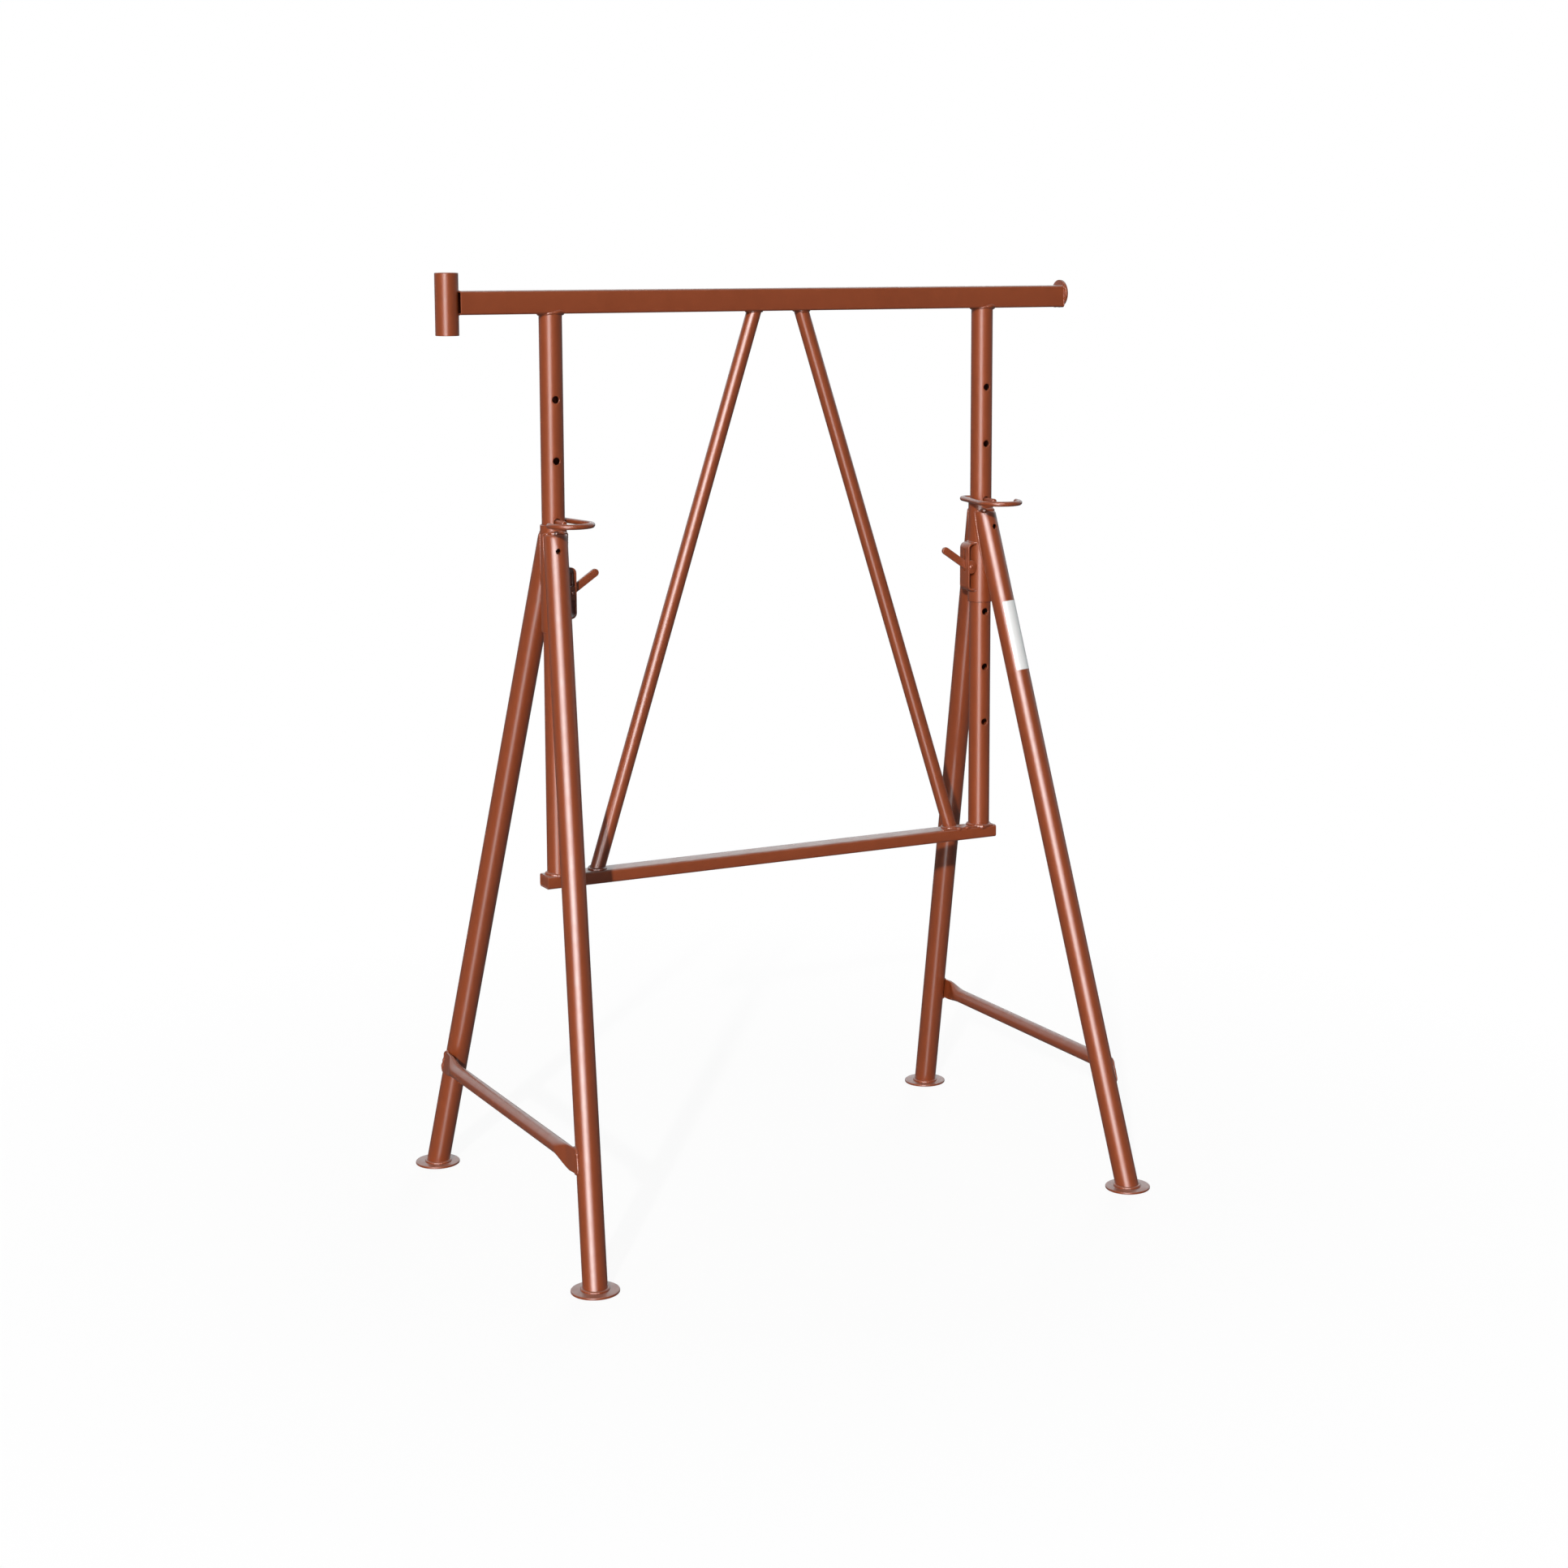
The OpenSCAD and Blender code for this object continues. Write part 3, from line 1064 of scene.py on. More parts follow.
@dataclass
class UpperFrame(SubAssembly):
    """The welded frame of head rail, posts, braces and bottom rail."""

    wall: float = 2.5 * MM
    rail_corner: float = 4 * MM
    low_rail_corner: float = 4.5 * MM
    socket_wall: float = 2.5 * MM
    socket_lip: float = 0.7 * MM
    disc_edge: float = 1.2 * MM
    brace_radius: float = 12.5 * MM
    lean_tries: int = 20
    cap_thickness: float = 3 * MM
    cap_recess: float = 0.4 * MM
    cap_corner: float = 1.2 * MM
    cap_edge: float = 0.5 * MM
    hole_radius: float = 6 * MM
    hole_pitch: float = 100 * MM
    holes_above: int = 2
    holes_below: int = 4
    hole_margin: float = 1.6
    hole_flare: float = 1.2 * MM
    mouth_steps: int = 5
    cutter_skim: float = 0.02 * MM
    cutter_overrun: float = 4 * MM
    post_weld_out: float = 0.2 * MM
    post_top_weld: Weld = Weld(2.2 * MM)
    post_top_rise: Pair = (-0.4 * MM, 2.2 * MM)
    post_foot_weld: Weld = Weld(3.2 * MM, lumps=0.35)
    post_foot_rise: Pair = (1.0 * MM, -1.6 * MM)
    flush_power: int = 4
    fillet_weld: Weld = Weld(2.6 * MM)
    fillet_line: tuple[Triple, ...] = (
        (-6 * MM, -18.2 * MM, 1 * MM),
        (2 * MM, -18.6 * MM, 2.5 * MM),
        (9 * MM, -18.6 * MM, 4 * MM),
        (14 * MM, -17.4 * MM, 3 * MM),
        (17.4 * MM, -11 * MM, 0.5 * MM),
        (19 * MM, -2 * MM, -0.5 * MM),
    )
    brace_weld_out: float = 0.5 * MM
    brace_top_weld: Weld = Weld(1.8 * MM)
    brace_top_drop: float = 0.4 * MM
    brace_foot_weld: Weld = Weld(2.8 * MM, lumps=0.6)
    brace_foot_lift: float = 0.8 * MM
    run_weld: Weld = Weld(1.9 * MM, lumps=0.8)
    run_lead: float = 40 * MM
    run_tail: float = 5 * MM
    run_inset: float = 2.6 * MM
    run_sink: float = 0.4 * MM
    socket_weld: Weld = Weld(1.6 * MM)
    socket_weld_turn: float = math.radians(28)
    socket_weld_steps: int = 12
    socket_weld_out: float = 0.4 * MM
    rail_weld_inset: float = 0.6 * MM
    disc_weld: Weld = Weld(1.3 * MM)
    disc_weld_inset: float = 0.5 * MM
    post_seed: int = 11
    brace_seed: int = 31
    side_seed_step: int = 12
    socket_seed: int = 51
    disc_seed: int = 53
    run_seed: int = 61

    def __post_init__(self) -> None:
        """Reads the rails' places from the frame."""
        self.rail_low, self.rail_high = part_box("head_rail")
        self.low_low, self.low_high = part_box("bottom_rail")

    def build(self) -> None:
        """Builds and dresses every piece of the frame."""
        self.head_rail()
        self.socket()
        self.stop_disc()
        for side in Side:
            self.post(side)
            self.brace(side)
        self.bottom_rail()
        self.rail_caps()
        self.rail_end_welds()
        self.foot_run()

    def head_rail(self) -> None:
        """The square tube, its left end let in round the socket."""
        low, high = self.rail_low, self.rail_high
        side = high.z - low.z
        axes = Axes.along_x(low.x, 0, (low.z + high.z) / 2)
        bm = hollow_tube(axes, high.x - low.x, box_section(side, side, self.rail_corner), self.wall)
        middle, radius = node_middle("guardrail_socket"), node_depth("guardrail_socket") / 2
        for vert in bm.verts:
            if vert.co.x < middle.x + radius and abs(vert.co.y) < radius:
                vert.co.x = max(vert.co.x, middle.x + math.sqrt(radius**2 - vert.co.y**2))
        self.add("head_rail_tube", bm, FRAME_PAINT, "head_rail")

    def socket(self) -> None:
        """The open tube that takes a guard-rail post."""
        low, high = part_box("guardrail_socket")
        middle, radius = (low + high) / 2, (high.y - low.y) / 2
        axes = Axes.upright(middle.x, middle.y, low.z)
        bm = hollow_tube(axes, high.z - low.z, round_section(radius), self.socket_wall, self.socket_lip)
        self.add("guardrail_socket_tube", bm, FRAME_PAINT, "guardrail_socket")

    def stop_disc(self) -> None:
        """The round plate that closes the other end of the head rail."""
        low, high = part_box("end_stop_disc")
        middle = (low + high) / 2
        profile = plate_profile((high.z - low.z) / 2, high.x - low.x, self.disc_edge)
        bm = turned(Axes.along_x(low.x, middle.y, middle.z), profile)
        self.add("end_stop_plate", bm, FRAME_PAINT, "end_stop_disc")

    def post(self, side: Side) -> None:
        """A round post with its row of holes, and the welds at both its ends.

        Args:
            side: Which post.
        """
        node = f"{side.word}_post"
        low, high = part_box(node)
        x, radius = (low.x + high.x) / 2, (high.y - low.y) / 2
        pin = node_middle(f"{side.word}_lock_pin").z
        heights = [pin + self.hole_pitch * k for k in range(-self.holes_below, self.holes_above + 1)]
        margin = self.hole_margin * self.hole_radius
        stops = [z - low.z + d for z in heights for d in (-margin, margin)]
        axes = Axes.upright(x, 0, low.z)
        tube = hollow_tube(axes, high.z - low.z, round_section(radius), self.wall, stops=stops)
        obj = make_object(f"{side.word}_post_tube", tube)
        for z in heights:
            combine(obj, self._hole_cutter(x, z, radius), Change.CUT)
        self.dress(obj, self.body, POST_PAINT, node)
        self._post_welds(side, x, radius)

    def _hole_cutter(self, x: float, z: float, radius: float) -> Mesh:
        """A cutter for a hole whose mouths are rounded where they meet the post's skin.

        Args:
            x: The post's axis.
            z: The hole's height.
            radius: The post's radius.

        Returns:
            The cutter.
        """
        rings = []
        for wider, deeper in rounding(self.mouth_steps):
            mouth = circle_outline(self.hole_radius + self.hole_flare * wider, HOLE_POINTS)
            sunk = self.hole_flare * deeper - self.cutter_skim
            rings.append([(a, math.sqrt(radius**2 - a * a) - sunk, b) for a, b in mouth])
        rings.append([(a, radius + self.cutter_overrun, b) for a, _, b in rings[-1]])
        halves = {}
        for end in End:
            halves[end] = [[Vector((x + a, end.value * y, z + b)) for a, y, b in ring] for ring in rings]
        return loft(halves[End.FRONT][::-1] + halves[End.REAR])

    def _post_welds(self, side: Side, x: float, radius: float) -> None:
        """The beads round a post under the head rail and on the bottom rail.

        Args:
            side: Which post.
            x: The post's axis.
            radius: The post's radius.
        """
        seed = self.post_seed + self.side_seed_step * side.number
        welds = (
            ("top_weld", self.post_top_weld, self.rail_low.z, self.post_top_rise),
            ("foot_weld", self.post_foot_weld, self.low_high.z, self.post_foot_rise),
        )
        for number, (word, weld, face, (level, rise)) in enumerate(welds):
            path = []
            for a, b in circle_outline(radius + self.post_weld_out):
                flush = (abs(b) / radius) ** self.flush_power
                path.append(Vector((x + a, b, face + level + rise * flush)))
            self.add(f"{side.word}_post_{word}", weld.bead(path, True, seed + number), FRAME_WELD)
        fillet = [Vector((x + a, b, self.rail_low.z + rise)) for a, b, rise in self.fillet_line]
        bead = self.fillet_weld.bead(fillet, False, seed + len(welds))
        self.add(f"{side.word}_post_top_fillet", bead, FRAME_WELD)

    def brace(self, side: Side) -> None:
        """A leaning brace and the beads at its two ends.

        Args:
            side: Which brace.
        """
        name = f"{side.word}_brace"
        low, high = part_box(name)
        half = self.brace_radius / math.cos(self._lean(high.x - low.x, high.z - low.z))
        ends = (low.x + half, high.x - half)
        foot = Vector((ends[side.number], 0, low.z))
        top = Vector((ends[1 - side.number], 0, high.z))
        axes = Axes.between(foot, top)
        bm = loft([axes.level_ring(self.brace_radius, z) for z in (low.z, high.z)])
        self.add(f"{name}_tube", bm, FRAME_PAINT, name)
        seed = self.brace_seed + self.side_seed_step * side.number
        welds = (
            ("top_weld", self.brace_top_weld, high.z - self.brace_top_drop),
            ("foot_weld", self.brace_foot_weld, low.z + self.brace_foot_lift),
        )
        for number, (word, weld, z) in enumerate(welds):
            path = axes.level_ring(self.brace_radius + self.brace_weld_out, z)
            self.add(f"{name}_{word}", weld.bead(path, True, seed + number), FRAME_WELD)

    def _lean(self, width: float, rise: float) -> float:
        """The angle of a brace from upright, from the size of its box.

        Args:
            width: The box's width, which takes in the brace's own thickness.
            rise: The box's height.

        Returns:
            The angle in radians.
        """
        lean = math.atan2(width, rise)
        for _ in range(self.lean_tries):
            lean = math.atan2(width - 2 * self.brace_radius / math.cos(lean), rise)
        return lean

    def bottom_rail(self) -> None:
        """The flat tube under the posts."""
        low, high = self.low_low, self.low_high
        axes = Axes.along_x(low.x, 0, (low.z + high.z) / 2)
        section = box_section(high.y - low.y, high.z - low.z, self.low_rail_corner)
        bm = hollow_tube(axes, high.x - low.x, section, self.wall)
        self.add("bottom_rail_tube", bm, FRAME_PAINT, "bottom_rail")

    def rail_caps(self) -> None:
        """The two plates that close the bottom rail."""
        low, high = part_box("bottom_rail_caps")
        outline = box_outline(high.y - low.y, high.z - low.z, self.cap_corner)
        inset = self.cap_thickness / 2 + self.cap_recess
        places = [Axes.along_x(x, 0, (low.z + high.z) / 2) for x in (low.x + inset, high.x - inset)]
        caps = [extruded(axes, outline, self.cap_thickness, self.cap_edge) for axes in places]
        self.add("bottom_rail_end_caps", joined(caps), FRAME_PAINT, "bottom_rail_caps")

    def rail_end_welds(self) -> None:
        """The beads that hold the socket and the stop disc to the head rail."""
        low, high = self.rail_low, self.rail_high
        socket = node_middle("guardrail_socket")
        reach = node_depth("guardrail_socket") / 2 + self.socket_weld_out
        turn = self.socket_weld_turn
        line = arc((socket.x, 0), reach, -turn, turn, self.socket_weld_steps)
        for number, (word, face, way) in enumerate((("top", high.z, -1), ("bottom", low.z, 1))):
            path = [Vector((x, y, face + way * self.rail_weld_inset)) for x, y in line]
            bead = self.socket_weld.bead(path, False, self.socket_seed + number)
            self.add(f"socket_{word}_weld", bead, FRAME_WELD)
        side = high.z - low.z - 2 * self.disc_weld_inset
        outline = box_outline(side, side, self.rail_corner)
        centre = (low.z + high.z) / 2
        loop = [Vector((high.x - self.rail_weld_inset, a, centre + b)) for a, b in outline]
        self.add("end_stop_weld", self.disc_weld.bead(loop, True, self.disc_seed), FRAME_WELD)

    def foot_run(self) -> None:
        """The lumpy weld along the bottom rail's front edge, from the right brace past the right post."""
        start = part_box("right_brace")[1].x - self.run_lead
        stop = self.low_high.x - self.run_tail
        y, z = self.low_low.y + self.run_inset, self.low_high.z - self.run_sink
        path = [Vector((x, y, z)) for x in (start, (start + stop) / 2, stop)]
        self.add("right_foot_run_weld", self.run_weld.bead(path, False, self.run_seed), FRAME_WELD)


@dataclass
class LegFrame(SidePart):
    """A sleeve with two splayed legs, their feet and the cross brace."""

    sleeve_wall: float = 2.7 * MM
    sleeve_lip: float = 0.8 * MM
    window_below: float = 9 * MM
    window_above: float = 13 * MM
    window_margins: Pair = (1.3, 1.2)
    window_play: float = 1.2 * MM
    window_corner: float = 1 * MM
    leg_radius: float = 20 * MM
    leg_wall: float = 2.5 * MM
    leg_top_out: float = 6 * MM
    leg_top_spread: float = 28 * MM
    leg_ref_drop: float = 78.2 * MM
    leg_plug: float = 12 * MM
    leg_shoulder: float = 4 * MM
    shoulder_steps: int = 4
    leg_steps: int = 28
    touch_leads: Pair = (60 * MM, 1 * MM)
    outer_points: int = 56
    inner_points: int = 16
    vent_radius: float = 4.25 * MM
    vent_drop: float = 27 * MM
    vent_out: float = 4 * MM
    vent_start: float = 9 * MM
    vent_skin: float = 10.4 * MM
    vent_rim: float = 0.8 * MM
    vent_bevel: Pair = (1 * MM, 0.4 * MM)
    vent_overrun: float = 9 * MM
    foot_edge: float = 1.4 * MM
    cross_height: float = 200 * MM
    cross_radius: float = 12.5 * MM
    cross_flat: float = 5 * MM
    cross_flat_height: float = 39 * MM
    cross_flat_length: float = 26 * MM
    cross_edge: float = 1.5 * MM
    cross_edge_steps: int = 11
    cross_taper: float = 46 * MM
    cross_taper_steps: int = 12
    cross_corner: float = 7 * MM
    cross_corner_steps: int = 6
    cross_thinning: float = 3.2 * MM
    front_press: float = -5 * MM
    rear_press: float = 2 * MM
    film_low: float = 884 * MM
    film_high: float = 1003 * MM
    film_left: float = math.radians(-35)
    film_right: float = math.radians(72)
    film_corner: float = 2.5 * MM
    film_corner_steps: int = 6
    film_rows: int = 12
    film_columns: int = 24
    film_lifts: Pair = (0.25 * MM, 0.02 * MM)
    seam_weld: Weld = Weld(2.2 * MM, lumps=0.2)
    seam_start: float = 4 * MM
    top_weld: Weld = Weld(4.6 * MM, lumps=0.15)
    top_weld_lift: float = 0.8 * MM
    top_weld_out: float = 2.0 * MM
    foot_weld: Weld = Weld(2.6 * MM, lumps=0.2)
    foot_weld_gap: float = 0.8 * MM
    cross_weld: Weld = Weld(2.3 * MM, lumps=0.5)
    cross_weld_in: float = 0.7 * MM
    cross_weld_steps: int = 4
    leg_seed: int = 61
    leg_seed_steps: tuple[int, int] = (14, 6)
    foot_seed: int = 91
    cross_seed: int = 131
    end_seed_steps: tuple[int, int] = (10, 4)

    def __post_init__(self) -> None:
        """Reads the sleeve's place from the frame."""
        low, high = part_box(self.named("sleeve"))
        self.sleeve_low, self.sleeve_high = low, high
        self.post_x = (low.x + high.x) / 2
        self.sleeve_radius = (high.y - low.y) / 2

    def build(self) -> None:
        """Builds and dresses every piece of the leg frame."""
        self.sleeve()
        for end in End:
            self.leg(end)
            self.foot(end)
        self.cross_brace()
        if self.side is Side.RIGHT:
            self.film()

    def _seed(self, first: int, steps: tuple[int, int], end: End) -> int:
        """The number that a weld's drops are drawn from."""
        return first + steps[0] * self.side.number + steps[1] * end.number

    def sleeve(self) -> None:
        """The tube that the post slides in, with the window for the cam."""
        low, radius = self.sleeve_low.z, self.sleeve_radius
        rivet = node_middle(self.named("clamp_rivet")).z
        below, above = self.window_below, self.window_above
        stops = [rivet - low - self.window_margins[0] * below, rivet - low + self.window_margins[1] * above]
        axes = Axes.upright(self.post_x, 0, low)
        length = self.sleeve_high.z - low
        tube = hollow_tube(axes, length, round_section(radius), self.sleeve_wall, self.sleeve_lip, stops)
        obj = make_object(self.named("sleeve_tube"), tube)
        width = node_depth(self.named("clamp_lever")) + self.window_play
        window = Axes.along_x(self.post_x + self.side.inward * radius, 0, rivet + (above - below) / 2)
        outline = box_outline(width, below + above, self.window_corner)
        combine(obj, prism(window, outline, -radius / 2, radius / 2), Change.CUT)
        self.dress(obj, self.body, LEG_PAINT, self.named("sleeve"))

    def leg_axes(self, end: End) -> Axes:
        """The axis of a leg, from the floor under its foot upwards.

        Args:
            end: Which leg.

        Returns:
            The axes, with w along the leg.
        """
        foot = node_middle(self.named(f"{end.word}_foot"))
        top_x = self.post_x + self.side.value * self.leg_top_out
        top = Vector((top_x, end.value * self.leg_top_spread, self.sleeve_high.z - self.leg_ref_drop))
        return Axes.between(Vector((foot.x, foot.y, 0)), top)

    def leg_section(self, axes: Axes, radius: float, z: float) -> tuple[Ring, Ring]:
        """A leg's level section outside the sleeve.

        Args:
            axes: The leg's axis.
            radius: The leg's radius at this height.
            z: The height of the section.

        Returns:
            The points of the outer arc, and those of the arc on the sleeve.
        """
        post = Vector((self.post_x, 0, z))
        centre = axes.at_height(z)
        towards = math.atan2(post.y - centre.y, post.x - centre.x)

        def at(turn: float) -> Vector:
            """The point of the leg's skin at a turn from the way to the post."""
            flat = Vector((math.cos(towards + turn), math.sin(towards + turn), 0))
            return centre + flat * (radius / math.sqrt(1 - flat.dot(axes.w) ** 2))

        def inside(way: int, turn: float) -> bool:
            """Whether the skin lies within the sleeve at a turn to one side."""
            return (at(way * turn) - post).length < self.sleeve_radius

        if not inside(1, 0):
            skin = [at(2 * math.pi * k / (self.outer_points - 1)) for k in range(self.outer_points)]
            return skin, [skin[-1].copy() for _ in range(self.inner_points)]
        opening, reverse = (turning_point(partial(inside, way), 0.0, math.pi)[0] for way in (1, -1))
        span = 2 * math.pi - opening - reverse
        outer = [at(opening + span * k / (self.outer_points - 1)) for k in range(self.outer_points)]
        first, last = (math.atan2(p.y - post.y, p.x - post.x) for p in (outer[-1], outer[0]))
        turn = (last - first + math.pi) % (2 * math.pi) - math.pi
        steps = self.inner_points + 1
        inner = arc((post.x, post.y), self.sleeve_radius, first, first + turn, steps)[1:-1]
        return outer, [Vector((x, y, z)) for x, y in inner]

    def leg(self, end: End) -> None:
        """A leg set against the sleeve, with its vent hole and the beads that hold it.

        Args:
            end: Which leg.
        """
        name = f"{end.word}_leg"
        low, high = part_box(self.named(name))
        axes = self.leg_axes(end)
        touch = self._touch_height(axes, low.z, high.z)
        heights = [(low.z, 0.0), *((touch - lead, 0.0) for lead in self.touch_leads)]
        rise = high.z - self.leg_shoulder - touch
        heights += [(touch + rise * k / self.leg_steps, 0.0) for k in range(1, self.leg_steps + 1)]
        for inset, drop in rounding(self.shoulder_steps, 1):
            heights.append((high.z - self.leg_shoulder * drop, self.leg_shoulder * inset))
        sections = [self.leg_section(axes, self.leg_radius - inset, z) for z, inset in heights]
        skin = loft([outer + inner for outer, inner in sections])
        obj = make_object(self.named(f"{name}_tube"), skin)
        bore = circle_outline(self.leg_radius - self.leg_wall)
        combine(obj, prism(axes, bore, 0, axes.reach_to(high.z - self.leg_plug)), Change.CUT)
        self._vent(obj, axes, end, high.z - self.vent_drop)
        split_wide_faces(obj)
        self.dress(obj, self.body, LEG_PAINT, self.named(name))
        held = [section for section, (z, _) in zip(sections, heights) if z > touch + self.seam_start]
        self._leg_welds(end, held)

    def _touch_height(self, axes: Axes, low: float, high: float) -> float:
        """The height at which a leg meets the sleeve's surface.

        Args:
            axes: The leg's axis.
            low: A height at which it stands clear.
            high: A height at which it meets the sleeve.

        Returns:
            The height.
        """

        def clear(z: float) -> bool:
            """Whether the leg stands clear of the sleeve.

            Args:
                z: The height that is tested.

            Returns:
                True where it stands clear.
            """
            away = axes.at_height(z) - Vector((self.post_x, 0, z))
            reach = self.leg_radius / math.sqrt(1 - away.normalized().dot(axes.w) ** 2)
            return away.length - reach > self.sleeve_radius

        return turning_point(clear, low, high)[1]

    def _vent(self, obj: Piece, axes: Axes, end: End, z: float) -> None:
        """Cuts the small vent hole in the leg's outer face near its top.

        Args:
            obj: The leg.
            axes: The leg's axis.
            end: Which leg.
            z: The hole's height.
        """
        start = axes.at_height(z) + Vector((self.side.value * self.vent_out, end.value * self.vent_start, 0))
        hole = Axes(start, X_WAY, Z_WAY, Y_WAY * end.value)
        radius, rim, skin = self.vent_radius, self.vent_radius + self.vent_rim, self.vent_skin
        inner, outer = self.vent_bevel
        profile = [(radius, 0), (radius, skin - inner), (rim, skin + outer), (rim, skin + self.vent_overrun)]
        combine(obj, turned(hole, profile, BORE_POINTS), Change.CUT)

    def _leg_welds(self, end: End, held: Sequence[tuple[Ring, Ring]]) -> None:
        """The seams down both sides of a leg's joint with the sleeve, and the bead over its top.

        Args:
            end: Which leg.
            held: The leg's sections along the joint, from the lowest to the top.
        """
        seed = self._seed(self.leg_seed, self.leg_seed_steps, end)
        for number, (word, index) in enumerate((("outer", 0), ("inner", -1))):
            seam = self.seam_weld.bead([outer[index] for outer, _ in held], False, seed + number)
            self.add(f"{end.word}_leg_{word}_seam", seam, LEG_WELD)
        outer, inner = held[-1]
        path = [p + Vector((0, 0, self.top_weld_lift)) for p in (outer[-1], *inner, outer[0])]
        path = [p + (p - Vector((self.post_x, 0, p.z))).normalized() * self.top_weld_out for p in path]
        self.add(f"{end.word}_leg_top_weld", self.top_weld.bead(path, False, seed + 2), LEG_WELD)

    def foot(self, end: End) -> None:
        """A round foot plate with the bead round the leg that stands on it.

        Args:
            end: Which foot.
        """
        name = f"{end.word}_foot"
        low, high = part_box(self.named(name))
        middle = (low + high) / 2
        profile = plate_profile((high.x - low.x) / 2, high.z - low.z, self.foot_edge)
        plate = turned(Axes.upright(middle.x, middle.y, low.z), profile)
        self.add(f"{name}_plate", plate, LEG_PAINT, name)
        gap = self.foot_weld_gap
        ring = self.leg_axes(end).level_ring(self.leg_radius + gap, high.z + gap)
        seed = self._seed(self.foot_seed, self.end_seed_steps, end)
        self.add(f"{name}_weld", self.foot_weld.bead(ring, True, seed), LEG_WELD)

    def film(self) -> None:
        """A blank white film stuck round the front of the front leg."""
        axes = self.leg_axes(End.FRONT)
        front = -Y_WAY
        ahead = (front - axes.w * front.dot(axes.w)).normalized()
        aside = ahead.cross(axes.w) * -self.side.value
        start, stop = axes.reach_to(self.film_low), axes.reach_to(self.film_high)
        corner = [self.film_corner * far for far, _ in rounding(self.film_corner_steps)]
        rows = [start + d for d in corner]
        rows += [start + (stop - start) * k / self.film_rows for k in range(2, self.film_rows - 1)]
        rows += [stop - d for d in reversed(corner)]
        bm = bmesh.new()
        skins = []
        for lift in self.film_lifts:
            reach = self.leg_radius + lift
            skin = []
            for s in rows:
                spots = (
                    axes.at(0, 0, s) + (ahead * math.cos(t) + aside * math.sin(t)) * reach
                    for t in self._film_turns(min(s - start, stop - s), reach)
                )
                skin.append([bm.verts.new(spot) for spot in spots])
            skins.append(skin)
        self._close_film(bm, *skins)
        self.add("front_leg_film", bm, LEG_FILM)

    def _film_turns(self, from_edge: float, reach: float) -> list[float]:
        """The angles of the film's points in one row, drawn in at its round corners.

        Args:
            from_edge: The row's distance from the film's nearer edge.
            reach: The radius that the film lies on.

        Returns:
            The angles from the leg's front.
        """
        near = max(0.0, self.film_corner - from_edge)
        inset = (self.film_corner - math.sqrt(self.film_corner**2 - near**2)) / reach
        left, right = self.film_left + inset, self.film_right - inset
        return [left + (right - left) * k / self.film_columns for k in range(self.film_columns + 1)]

    @staticmethod
    def _close_film(bm: Mesh, outer: list[list], inner: list[list]) -> None:
        """Puts faces on the film's two skins and closes its edges.

        Args:
            bm: The film's mesh.
            outer: The rows of points of its outer skin.
            inner: The rows of points of the skin on the leg.
        """
        last = len(outer[0]) - 1
        for (a, b), (c, d) in zip(zip(outer, outer[1:]), zip(inner, inner[1:])):
            for j in range(last):
                bm.faces.new((a[j], a[j + 1], b[j + 1], b[j]))
                bm.faces.new((c[j], d[j], d[j + 1], c[j + 1]))
            for j in (0, last):
                bm.faces.new((a[j], c[j], d[j], b[j]))
        for a, c in ((outer[0], inner[0]), (outer[-1], inner[-1])):
            for j in range(last):
                bm.faces.new((a[j], a[j + 1], c[j + 1], c[j]))
        bmesh.ops.recalc_face_normals(bm, faces=bm.faces)

    def cross_brace(self) -> None:
        """The tube on the legs' outer side, its ends pressed flat, with the beads that hold them."""
        _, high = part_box(self.named("cross_brace"))
        rear = self.leg_axes(End.REAR)
        spot = rear.at_height(self.cross_height)
        lean = math.atan2(abs(rear.w.x), rear.w.z)
        out = Vector((self.side.value * math.cos(lean), 0, math.sin(lean)))
        up = Vector((-self.side.value * math.sin(lean), 0, math.cos(lean)))
        middle = Vector((spot.x, 0, self.cross_height)) + out * (self.leg_radius + self.cross_flat / 2)
        axes = Axes(middle, out, up, Y_WAY)
        slant = rear.w.y / rear.w.z
        front, back = (self._pressed_end(axes, end, high.y, slant) for end in End)
        self.add("cross_brace_tube", loft(front[::-1] + back), LEG_PAINT, "cross_brace")
        for end in End:
            self._cross_weld(axes, end, high.y, slant)

    def _end_shift(self, end: End) -> float:
        """How far the press has pushed an end up from the tube's axis."""
        return self.front_press if end is End.FRONT else self.rear_press

    def _pressed_end(self, axes: Axes, end: End, far: float, slant: float) -> list[Ring]:
        """The rings of one half of the cross brace, from its round part to its pressed end.

        Args:
            axes: The tube's axes, w along it.
            end: Which half.
            far: Distance of the end from the middle.
            slant: The leg's lean, which the end's edge follows.

        Returns:
            The rings.
        """
        flat_start = far - self.cross_flat_length
        shares = [k / self.cross_taper_steps for k in range(self.cross_taper_steps + 1)]
        stations = [(flat_start - self.cross_taper * (1 - share), share, 0.0) for share in shares]
        for trim, back in rounding(self.cross_corner_steps, 1):
            stations.append((far - self.cross_corner * back, 1.0, self.cross_corner * trim))
        rings = []
        for y, flat, trim in stations:
            ease = flat * flat * (3 - 2 * flat)
            thin = self.cross_thinning * max(0.0, (y - flat_start) / self.cross_flat_length)
            shift = self._end_shift(end) * ease
            ring = []
            for a, b in self._pressed(ease, trim, thin):
                ring.append(axes.at(a, b + shift, end.value * (y + slant * (b + shift) * ease)))
            rings.append(ring)
        return rings

